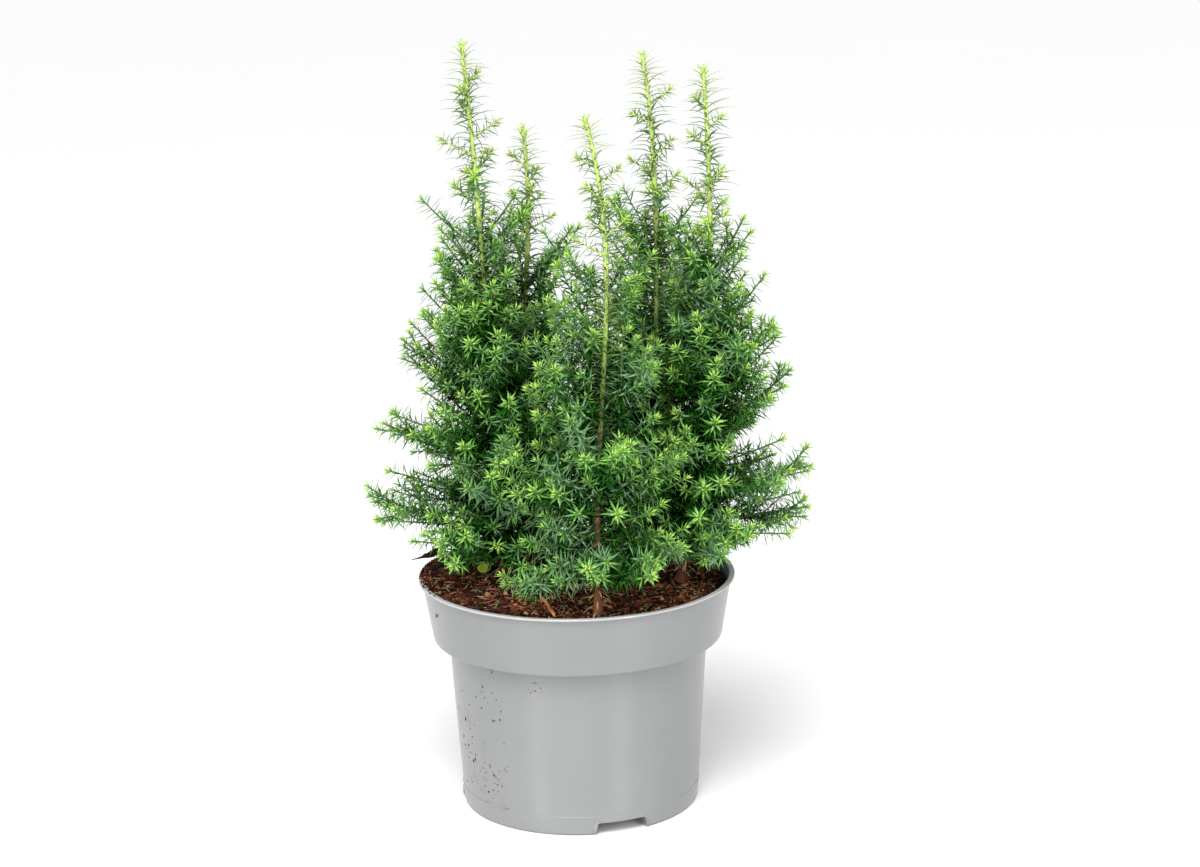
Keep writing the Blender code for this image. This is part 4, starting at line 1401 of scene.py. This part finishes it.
def flake(path, half_widths, half_depths, chance, sides=8):
    """A rough sliver along a path, with its half width and depth at even steps."""
    rings = len(half_widths)
    points, _, side, up = path.frames(np.linspace(0, path.length, rings))
    rough = chance.uniform(*FLAKE_ROUGHNESS, (rings, sides, 1))
    spread = around(side * np.array(half_widths)[:, None], up * np.array(half_depths)[:, None], sides)
    return (points[:, None] + spread * rough).reshape(1, -1, 3), ring_faces(rings, sides)


def leaf_blade(length):
    """A rounded leaf that lies along +X, cupped a little and of some thickness."""
    points, faces = LEAF
    x, y, z = points.T
    cup = LEAF_CURVE * (x * x + y * y)
    return np.stack([x + 0.5, y * LEAF_WIDTH, z * LEAF_DEPTH + cup * LEAF_CUP], axis=1) * length, faces


def seedling(length, lump, chance):
    """Three leaves on short stalks, each as points and triangles."""
    points, faces = leaf_blade(length)
    x, y = SEEDLING_PLACE
    foot = np.array([x, y, soil_height(x, y, lump) + SEEDLING_HEIGHT])
    for azimuth, tilt, share in SEEDLING:
        turn = Matrix.Rotation(math.radians(azimuth), 3, "Z") @ Matrix.Rotation(math.radians(-tilt), 3, "Y")
        yield (points * share @ np.array(turn).T + foot)[None], faces
        low = foot - [0, 0, SEEDLING_HEIGHT + SEEDLING_SINK]
        stalk = Path([low, foot, foot + np.array(turn) @ [SEEDLING_SINK, 0, 0]])
        yield flake(stalk, SEEDLING_STALK, SEEDLING_STALK, chance, 6)


def wall_bits(chance, count, azimuths, heights, sizes):
    """Crumbs that stick to the outside of the pot, turned to its wall."""
    points, faces = BALL
    azimuth = np.radians(chance.uniform(*azimuths, count))
    height = chance.uniform(*heights, count)
    radius = np.where(height > COLLAR_FOOT_HEIGHT, collar_radius(height), body_radius(height))
    outward = np.stack([np.cos(azimuth), np.sin(azimuth), np.zeros(count)], axis=1)
    tangent = np.stack([-np.sin(azimuth), np.cos(azimuth), np.zeros(count)], axis=1)
    upward = np.array([[0.0, 0.0, 1.0]])
    size = chance.uniform(*sizes, (count, 1)) * chance.uniform(*WALL_BIT_SHAPES, (count, 3))
    shaped = points[None] * size[:, None] * chance.uniform(*WALL_BIT_DENTS, (count, len(points), 1))
    centre = outward * radius[:, None] + upward * height[:, None]
    return in_frames(shaped, (tangent, outward, upward), (0, 2, 1)) + centre[:, None], faces


class CONIFER_OT_litter(bpy.types.Operator):
    """Lays a bark flake, a twig, a seedling and loose needles on the compost, and crumbs on the pot"""

    bl_idname = "conifer.litter"
    bl_label = "Litter"

    def execute(self, context):
        settings, colours = context.scene.conifer_litter, context.scene.conifer_needles
        lump = context.scene.conifer_compost.lump
        chance = np.random.default_rng(LITTER_SEED)
        slivers = [flake(Path(points), widths, depths, chance) for points, widths, depths in FLAKES]
        bark = loose_finish("flake_bark", settings.flake, 0.35)
        pile("bark_flake", bark, "compost", slivers, smooth=False)
        twig = flake(Path(TWIG), TWIG_WIDTHS, TWIG_WIDTHS, chance, 7)
        pile("orange_twig", loose_finish("twig_wood", settings.twig, 0.6, 0.7), "compost", [twig])
        leaves = seedling(settings.leaf, lump, chance)
        pile("seedling", stalk_finish("seedling_leaf", settings.seedling), "needles", leaves)
        corners, faces = LONG_NEEDLE
        lying = (corners[:, [2, 0, 1]], faces)
        for shade, share in LOOSE_SHARES.items():
            count = int(settings.loose * share)
            places = strewn(chance, count, lump) + [0, 0, LOOSE_LIFT]
            fallen = bits(chance, lying, places, chance.uniform(*LOOSE_SIZES, (count, 3)), *LOOSE_TURNS)
            finish = needle_finish(f"loose_{shade}", getattr(colours, shade))
            pile(f"loose_{shade}", finish, "compost", [fallen])
        marks = (("dark", settings.flake, DARK_MARKS), ("red", settings.stain, RED_MARKS))
        for name, colour, groups in marks:
            crumbs = [wall_bits(chance, *group) for group in groups]
            finish = loose_finish(f"wall_crumb_{name}", colour, 0.5)
            pile(f"wall_crumbs_{name}", finish, "compost", crumbs, smooth=False)
        return {"FINISHED"}


# Stems


def limb_mesh(path, radius_at, relief, seed):
    """A limb as a closed tube with ridged bark, as points and faces."""
    rings = max(8, int(path.length / BARK_STEP))
    distances = np.linspace(0, path.length, rings)
    points, _, side, up = path.frames(distances)
    surface = np.empty((rings, BARK_SIDES, 3))
    for ring in range(rings):
        share = distances[ring] / path.length
        radius = radius_at(share, path.length)
        for i in range(BARK_SIDES):
            angle = math.tau * i / BARK_SIDES
            outward = side[ring] * math.cos(angle) + up[ring] * math.sin(angle)
            x, y, z = (points[ring] + outward * radius) * BARK_FINE
            ridge = noise.fractal(Vector((x, y, z * BARK_STRETCH + seed)), *BARK_TEXTURE)
            knot = noise.noise(Vector((angle, distances[ring] * KNOT_FINE, seed + KNOT_SEED)))
            rise = relief * (RIDGE_HEIGHT * ridge - RIDGE_SINK) * (RIDGE_FADE - share)
            swell = BARK_BASE + rise + KNOT_HEIGHT * knot
            surface[ring, i] = points[ring] + outward * radius * swell
    return surface.reshape(1, -1, 3), ring_faces(rings, BARK_SIDES)


def stem_radius(share, length):
    """A trunk's radius with its root flare."""
    radius = trunk_radius(share)
    low = share * length - STEM_SINK
    if low < TRUNK_FLARE_HEIGHT:
        radius *= 1 + TRUNK_FLARE * (1 - max(0.0, low) / TRUNK_FLARE_HEIGHT) ** 2
    return radius


def bough_radius(share, _):
    """A bough's radius at a share of its length."""
    return BOUGH_ROOT_RADIUS + (BOUGH_TIP_RADIUS - BOUGH_ROOT_RADIUS) * share


class CONIFER_OT_stems(bpy.types.Operator):
    """Grows bark on the five stems and on the lowest bough of each"""

    bl_idname = "conifer.stems"
    bl_label = "Stems"

    def execute(self, context):
        relief, plan = context.scene.conifer_wood.relief, plant_plan()
        bark = bark_finish(context.scene.conifer_wood)
        for number, (name, wood) in enumerate(plan.woods.items()):
            stem = Path([wood.points[0] - Vector((0, 0, STEM_SINK)), *wood.points])
            limb, root = plan.boughs[name]
            bough = Path([root, *limb.points])
            seed = number * STEM_SEED_STEP
            shapes = [
                limb_mesh(stem, stem_radius, relief, seed),
                limb_mesh(bough, bough_radius, relief, seed + BOUGH_SEED),
            ]
            pile(f"stem_{name}", bark, "bark", shapes, (f"trunk_{name}", f"bough_{name}_low"))
        return {"FINISHED"}


# Foliage


def needle_template(rings):
    """The needle's corners as (half width, depth, share of length), flat above and keeled below."""
    corners = []
    for along, wide in rings:
        corners += [(wide, 0, along), (-wide, 0, along), (0, -NEEDLE_KEEL * wide, along)]
    corners.append((0, 0, 1))
    last = len(corners) - 4
    faces = [(0, 2, 1)]
    for i in range(3):
        j = (i + 1) % 3
        for low in range(0, last, 3):
            faces += [(low + i, low + j, low + j + 3), (low + i, low + j + 3, low + i + 3)]
        faces.append((last + i, last + j, last + 3))
    return np.array(corners, float), np.array(faces)


NEEDLE = needle_template(NEEDLE_RINGS)
LONG_NEEDLE = needle_template(LONG_NEEDLE_RINGS)
PLAIN_NEEDLE = needle_template(PLAIN_NEEDLE_RINGS)


class Foliage:
    """Needles and stalks of the whole crown, gathered by shade and by kind."""

    def __init__(self, settings):
        self.settings = settings
        self.chance = np.random.default_rng(NEEDLE_SEED)
        self.needles = defaultdict(Heap)
        self.stalks = defaultdict(Heap)

    def stalk(self, path, kind, radii):
        """The stalk of one shoot, which ends under its last needles."""
        rings, sides = STALK_RINGS[kind], STALK_SIDES[kind]
        points, _, side, up = path.frames(np.linspace(0, path.length, rings))
        points = points[:, None] + around(side, up, sides) * np.linspace(*radii, rings)[:, None, None]
        self.stalks[kind].add(points.reshape(1, -1, 3), ring_faces(rings, sides))

    def spray(self, path, name, kind, radii, bare=SPRAY_BARE, end=None):
        """Needles all along one shoot, and a star of them at its tip."""
        settings, chance, spray = self.settings, self.chance, SPRAYS[name]
        loose = settings.loose
        end = path.length if end is None else end
        step = settings.spacing * spray.spacing
        count = max(0, int((end - bare - spray.star_depth) / step))
        along_shoot = bare + step * (np.arange(count) + chance.uniform(-STEP_JITTER, STEP_JITTER, count))
        share = along_shoot / max(end, 1e-6)
        opening = np.radians(spray.opening[0] + (spray.opening[1] - spray.opening[0]) * share)
        size = np.ones(count)
        if spray.star:
            t = np.linspace(0, 1, spray.star)
            along_shoot = np.concatenate([along_shoot, end - spray.star_depth * (1 - t)])
            first, last = STAR_OPENINGS
            opening = np.concatenate([opening, np.radians(first + (last - first) * t**STAR_CURVE)])
            long, short = STAR_LENGTHS
            size = np.concatenate([size, long + (short - long) * t**2])
        total = len(along_shoot)
        if total == 0:
            return
        opening = opening + chance.normal(0, loose * OPENING_JITTER, total)
        shrink, grow = SIZE_JITTER
        size = size * chance.uniform(1 - shrink * loose, 1 + grow * loose, total)
        turn = chance.uniform(0, math.tau) + GOLDEN_ANGLE * np.arange(total) + chance.normal(0, loose, total)
        points, direction, side, up = path.frames(along_shoot)
        outward = side * np.cos(turn)[:, None] + up * np.sin(turn)[:, None]
        radius = np.interp(along_shoot, [0, path.length], radii)
        length = settings.length * spray.length * size
        pointing = direction * np.cos(opening)[:, None] + outward * np.sin(opening)[:, None]
        pointing = unit(pointing + [0, 0, spray.lift])
        inner = unit(direction - pointing * np.sum(direction * pointing, axis=1, keepdims=True))
        across = np.cross(pointing, inner)
        origin = points + outward * (radius * NEEDLE_SINK)[:, None]
        fixed, growing = WIDTH_FOR_SIZE
        width = settings.width * spray.width * chance.uniform(*WIDTH_JITTER, total)
        width = width * (fixed + growing * size)
        bend = spray.bend + chance.normal(0, BEND_JITTER, total)
        bent = LONG_NEEDLE if spray.bend < ARCHED_BEND else NEEDLE
        corners, faces = bent if spray.bend < 0 else PLAIN_NEEDLE
        wide, deep, far = corners.T[:, None, :, None]
        shaped = (
            origin[:, None]
            + pointing[:, None] * (far * length[:, None, None])
            + across[:, None] * (wide * width[:, None, None] / 2)
            + inner[:, None] * (deep * width[:, None, None] / 2)
            + inner[:, None] * (far**2 * (bend * length)[:, None, None])
        )
        ends = shaped[:, -1]
        inside = np.hypot(ends[:, 0], ends[:, 1]) < RIM_INSIDE
        clear = ends[:, 2] > np.where(inside, SOIL_LEVEL, POT_HEIGHT) + NEEDLE_CLEAR
        clear &= np.all((shaped > CAD_LOW) & (shaped < CAD_HIGH), axis=(1, 2))
        from_tip = (end - along_shoot) / spray.zone * chance.uniform(*ZONE_JITTER, total)
        zones = np.where(from_tip < TIP_ZONE, 1, np.where(from_tip < MIDDLE_ZONE, 2, 3))
        if spray.star:
            zones[np.arange(total) >= total - spray.star * HEART_SHARE] = 0
        for zone, shade in enumerate(spray.shades.split()):
            self.needles[kind, shade].add(shaped[clear & (zones == zone)], faces)


def depth_of(path):
    """Whether a shoot's tip stands at the outside of the crown, half-way in or inside."""
    # The answer picks the shades: inner tips get darker needles, partly older, partly painted shade
    tip = path.points[-1]
    gap = plant_plan().spaces.limb_gap(tip)
    from_middle = math.hypot(tip.x - CROWN_MIDDLE, tip.y)
    if tip.z > OPEN_HEIGHT:
        return "outer"
    if gap < INNER_DEPTH or from_middle < CROWN_HEART:
        return "inner"
    if gap < MIDDLE_DEPTH or from_middle < CROWN_SHADE:
        return "middle"
    return "outer"


def pick(chance, family):
    """One kind of spray from a family, by its share."""
    names, shares = zip(*FAMILIES[family])
    return chance.choices(names, shares)[0]


def hides_stem(path):
    """Whether a shoot would stand before a stretch of stem that shows from the front."""
    lines = plant_plan().lines
    for name, lowest, highest, half in OPEN_FACES:
        for point in path.points:
            if lowest < point.z < highest:
                centre, _ = lines[name].at(distance_at_height(lines[name], point.z))
                if point.y < centre.y - half / 2 and abs(point.x - centre.x) < half:
                    return True
    return False


def grow_shoot(foliage, path, order, chance, kind="needles", spray=None):
    """One shoot with its stalk and needles, in a spray that suits its place and order."""
    if hides_stem(path):
        return
    if spray is None:
        place = depth_of(path)
        spray = pick(chance, WITHIN[place] if order == 2 else place)
    foliage.stalk(path, "leader" if kind == "leader_needles" else "new", STALK_RADII[order])
    foliage.spray(path, spray, kind, STALK_RADII[order])


def both_sides(name, seed, chance):
    """The side shoots that the solid has along a main shoot, and those between them."""
    plan = plant_plan()
    main, rule = plan.mains[name], plan.rules[name]
    sides = side_paths(main, {name}, rule, random.Random(seed))
    return sides, side_paths(main, {name}, between_rule(rule), chance)


def grow_leader(foliage, name, seed):
    """One leader: its thick green stalk, arched needles and short side shoots."""
    main = plant_plan().mains[name]
    foliage.stalk(main, "leader", LEADER_RADII)
    foliage.spray(main, "leader", "leader_needles", LEADER_RADII)
    chance = random.Random(seed + FINER_SEEDS)
    sides, extra = both_sides(name, seed, chance)
    foot = main.points[0].z
    for path in sides + [path for path in extra if path.points[0].z < foot + LEADER_CROWDED]:
        spray = "leader_low" if path.points[0].z < foot + LEADER_DARK else "leader_side"
        grow_shoot(foliage, path, 1, chance, "leader_needles", spray)


def grow_mass(foliage, name, seed):
    """One mass: its main shoot, the side shoots of the solid, those between them and the finest."""
    main = plant_plan().mains[name]
    chance = random.Random(seed + FINER_SEEDS)
    start, heading = main.at(0)
    whole = Path([start - heading * MAIN_SINK, *main.points])
    foliage.stalk(whole, "old", STALK_RADII[0])
    foliage.spray(whole, pick(chance, depth_of(main)), "needles", STALK_RADII[0], bare=MAIN_BARE)
    sides, extra = both_sides(name, seed, chance)
    for path in sides:
        grow_shoot(foliage, path, 1, chance)
        if path.length >= FINE_SHORTEST + FINE_FIRST + FINE_BARE_TOP:
            for fine in side_paths(path, {name}, fine_rule(path, foliage.settings.fine_step), chance):
                grow_shoot(foliage, fine, 2, chance)
    for path in extra:
        grow_shoot(foliage, path, 2, chance)


def habit_near(trunk, height, azimuth):
    """The reach and rise of a shoot between the masses of a stem, weighed from those nearest."""
    total = reach = rise = 0.0
    for owner, _, level, towards, far, up in (*BOUGHS, *MASSES):
        if owner != trunk:
            continue
        turned = 1 - math.cos(math.radians(azimuth - towards))
        weight = 1 / (HABIT_EVEN + ((height - level) / HABIT_HEIGHT) ** 2 + turned) ** 2
        total += weight
        reach += weight * far
        rise += weight * up
    return reach / total, rise / total


def heads_inward(centre, azimuth):
    """Whether a shoot half-way up the crown grows towards its middle."""
    lowest, highest = INWARD_HEIGHTS
    middle = math.degrees(math.atan2(-centre.y, CROWN_MIDDLE - centre.x))
    turned = abs((azimuth - middle + 180) % 360 - 180)
    return lowest < centre.z < highest and turned < INWARD_TURN


def grow_between(foliage, trunk, seed):
    """Shoots from one stem that fill the room between its masses, up to where its leader begins."""
    plan = plant_plan()
    line, top = plan.lines[trunk], plan.tops[trunk]
    own = {name for name, stem in plan.stems.items() if stem == trunk}
    chance = random.Random(seed)
    azimuth = chance.uniform(0, 360)
    distance = STEM_SHOOT_FIRST
    nearest, furthest = STEM_SHOOT_REACH
    while distance < top * STEM_SHOOT_TOP:
        turned = math.degrees(GOLDEN_ANGLE) * (1 + chance.uniform(-STEM_SHOOT_TURN, STEM_SHOOT_TURN))
        azimuth = (azimuth + turned) % 360
        centre, _ = line.at(distance)
        reach, rise = habit_near(trunk, centre.z, azimuth)
        reach *= nearest + (furthest - nearest) * chance.random() ** STEM_SHOOT_SKEW
        if heads_inward(centre, azimuth):
            reach = chance.uniform(*INWARD_REACH)
        direction = compass(azimuth, rise + chance.uniform(-STEM_SHOOT_RISE, STEM_SHOOT_RISE))
        start = centre + direction * (trunk_radius(distance / top) + LIMB_MARGIN) * STEM_SHOOT_START
        step = foliage.settings.stem_step * (1 + chance.uniform(-STEM_SHOOT_UNEVEN, STEM_SHOOT_UNEVEN))
        distance += step * (STEM_SHOOT_SPARSE if distance > top * STEM_SHOOT_THIN else 1)
        path = rising_path(start, direction, reach, LIFT_FOR_RISE * rise)
        kept = kept_length(path, own, 0, SHORTEST_SHOOT)
        if kept < SHORTEST_SHOOT:
            continue
        shoot = Path([centre, *path.between(0, kept, LINE_POINTS).points])
        grow_shoot(foliage, shoot, 1, chance)
        rule = mass_rule(reach * STEM_SHOOT_SIDES, max(reach, shoot.length))._replace(
            first=FINE_FIRST + SIDE_STEP / 2,
            bare_top=shoot.length * STEM_SHOOT_TIP,
            margin=0,
            shortest=FINE_SHORTEST,
        )
        for side in side_paths(shoot, own, rule, chance):
            grow_shoot(foliage, side, 2, chance)


class CONIFER_OT_foliage(bpy.types.Operator):
    """Grows every shoot and needle of the crown, and joins them by shade"""

    bl_idname = "conifer.foliage"
    bl_label = "Foliage"

    def execute(self, context):
        plan, foliage = plant_plan(), Foliage(context.scene.conifer_foliage)
        colours = context.scene.conifer_needles
        for seed, name in enumerate(plan.mains):
            grow = grow_leader if name.startswith("leader_") else grow_mass
            grow(foliage, name, seed)
        radii = (TRUNK_FOOT_RADIUS, TRUNK_TOP_RADIUS)
        for number, (name, wood) in enumerate(plan.woods.items()):
            grow_between(foliage, name, STEM_SEEDS + number)
            foliage.spray(wood, "stem", "needles", radii, bare=wood.length * STEM_BARE_SHARE)
            foliage.spray(wood, "foot", "needles", radii, end=FOOT_NEEDLES)
        for wood, _ in plan.boughs.values():
            foliage.spray(wood, "middle", "needles", (BOUGH_ROOT_RADIUS, BOUGH_TIP_RADIUS), bare=BOUGH_BARE)
        nodes = {"needles": nodes_named("mass_"), "leader_needles": nodes_named("leader_")}
        shades = {shade: needle_finish(f"needle_{shade}", getattr(colours, shade)) for shade in SHADES}
        for (kind, shade), heap in sorted(foliage.needles.items()):
            heap.make(f"{kind}_{shade}", shades[shade], kind, nodes[kind])
        stalks = {
            kind: stalk_finish(f"{kind}_stalk", getattr(colours, f"stalk_{kind}"))
            for kind in ("old", "new", "leader")
        }
        for kind, heap in sorted(foliage.stalks.items()):
            slot = "leader_needles" if kind == "leader" else "needles"
            heap.make(f"shoots_{kind}", stalks[kind], slot, nodes[slot])
        return {"FINISHED"}


# Stage


def aimed(place):
    """The turn that points a light from its place at the plant."""
    return (Vector(LIGHT_TARGET) - Vector(place)).to_track_quat("-Z", "Y").to_euler()


class CONIFER_OT_stage(bpy.types.Operator):
    """Lays the floor and sets the soft studio light and the camera"""

    bl_idname = "conifer.stage"
    bl_label = "Stage"

    def execute(self, context):
        scene, settings = context.scene, context.scene.conifer_stage
        mesh = bpy.data.meshes.new("studio_floor")
        half = FLOOR_HALF
        corners = [(-half, -half, 0), (half, -half, 0), (half, half, 0), (-half, half, 0)]
        mesh.from_pydata(corners, [], [range(4)])
        mesh.materials.append(floor_finish(settings.floor))
        floor = linked("studio_floor", mesh)
        floor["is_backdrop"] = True
        world = bpy.data.worlds.new("studio")
        world.use_nodes = True
        background = world.node_tree.nodes["Background"]
        background.inputs["Color"].default_value = (1, 1, 1, 1)
        background.inputs["Strength"].default_value = settings.surround
        scene.world = world
        key = bpy.data.lights.new("key", "SUN")
        key.energy, key.angle = settings.sky, math.radians(KEY_SPREAD)
        linked("key", key).rotation_euler = aimed(KEY_PLACE)
        for name, place, (width, height), setting, share in LIGHTS:
            data = bpy.data.lights.new(name, "AREA")
            data.shape, data.size, data.size_y = "RECTANGLE", width, height
            data.energy = getattr(settings, setting) * share
            light = linked(name, data)
            light.location, light.rotation_euler = place, aimed(place)
        scene.view_settings.view_transform = "Standard"
        data = bpy.data.cameras.new("camera")
        data.lens, data.sensor_width = CAMERA_LENS, CAMERA_SENSOR
        camera = linked("camera", data)
        turn = Matrix.Rotation(math.pi / 2 - CAMERA_PITCH, 3, "X") @ Matrix.Rotation(CAMERA_ROLL, 3, "Z")
        camera.location, camera.rotation_euler = CAMERA_PLACE, turn.to_euler()
        scene.camera = camera
        return {"FINISHED"}


# The add-on


class CONIFER_PT_panel(bpy.types.Panel):
    bl_idname = "CONIFER_PT_panel"
    bl_label = "Potted Conifer"
    bl_space_type = "VIEW_3D"
    bl_region_type = "UI"
    bl_category = "Conifer"

    def draw(self, context):
        for operator, *groups in STEPS:
            box = self.layout.box()
            box.operator(operator.bl_idname)
            for group in groups:
                for name in GROUPS[group].__annotations__:
                    box.prop(getattr(context.scene, group), name)


GROUPS = {
    "conifer_pot": PotSettings,
    "conifer_compost": CompostSettings,
    "conifer_litter": LitterSettings,
    "conifer_wood": WoodSettings,
    "conifer_foliage": FoliageSettings,
    "conifer_needles": NeedleColours,
    "conifer_stage": StageSettings,
}
STEPS = (
    (CONIFER_OT_stage, "conifer_stage"),
    (CONIFER_OT_pot, "conifer_pot"),
    (CONIFER_OT_compost, "conifer_compost"),
    (CONIFER_OT_litter, "conifer_litter"),
    (CONIFER_OT_stems, "conifer_wood"),
    (CONIFER_OT_foliage, "conifer_foliage", "conifer_needles"),
)
CLASSES = (*GROUPS.values(), *(step[0] for step in STEPS), CONIFER_PT_panel)


def register():
    for made in CLASSES:
        bpy.utils.register_class(made)
    for name, group in GROUPS.items():
        setattr(bpy.types.Scene, name, PointerProperty(type=group))


def unregister():
    for name in GROUPS:
        delattr(bpy.types.Scene, name)
    for made in reversed(CLASSES):
        bpy.utils.unregister_class(made)


def main():
    register()
    bpy.ops.conifer.stage()
    bpy.ops.conifer.pot()
    bpy.ops.conifer.compost()
    bpy.ops.conifer.litter()
    bpy.ops.conifer.stems()
    bpy.ops.conifer.foliage()
    boxes = {"cad": CAD_BOX, "visual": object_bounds()}
    plain = {name: [list(corner) for corner in box] for name, box in boxes.items()}


if __name__ == "__main__":
    main()
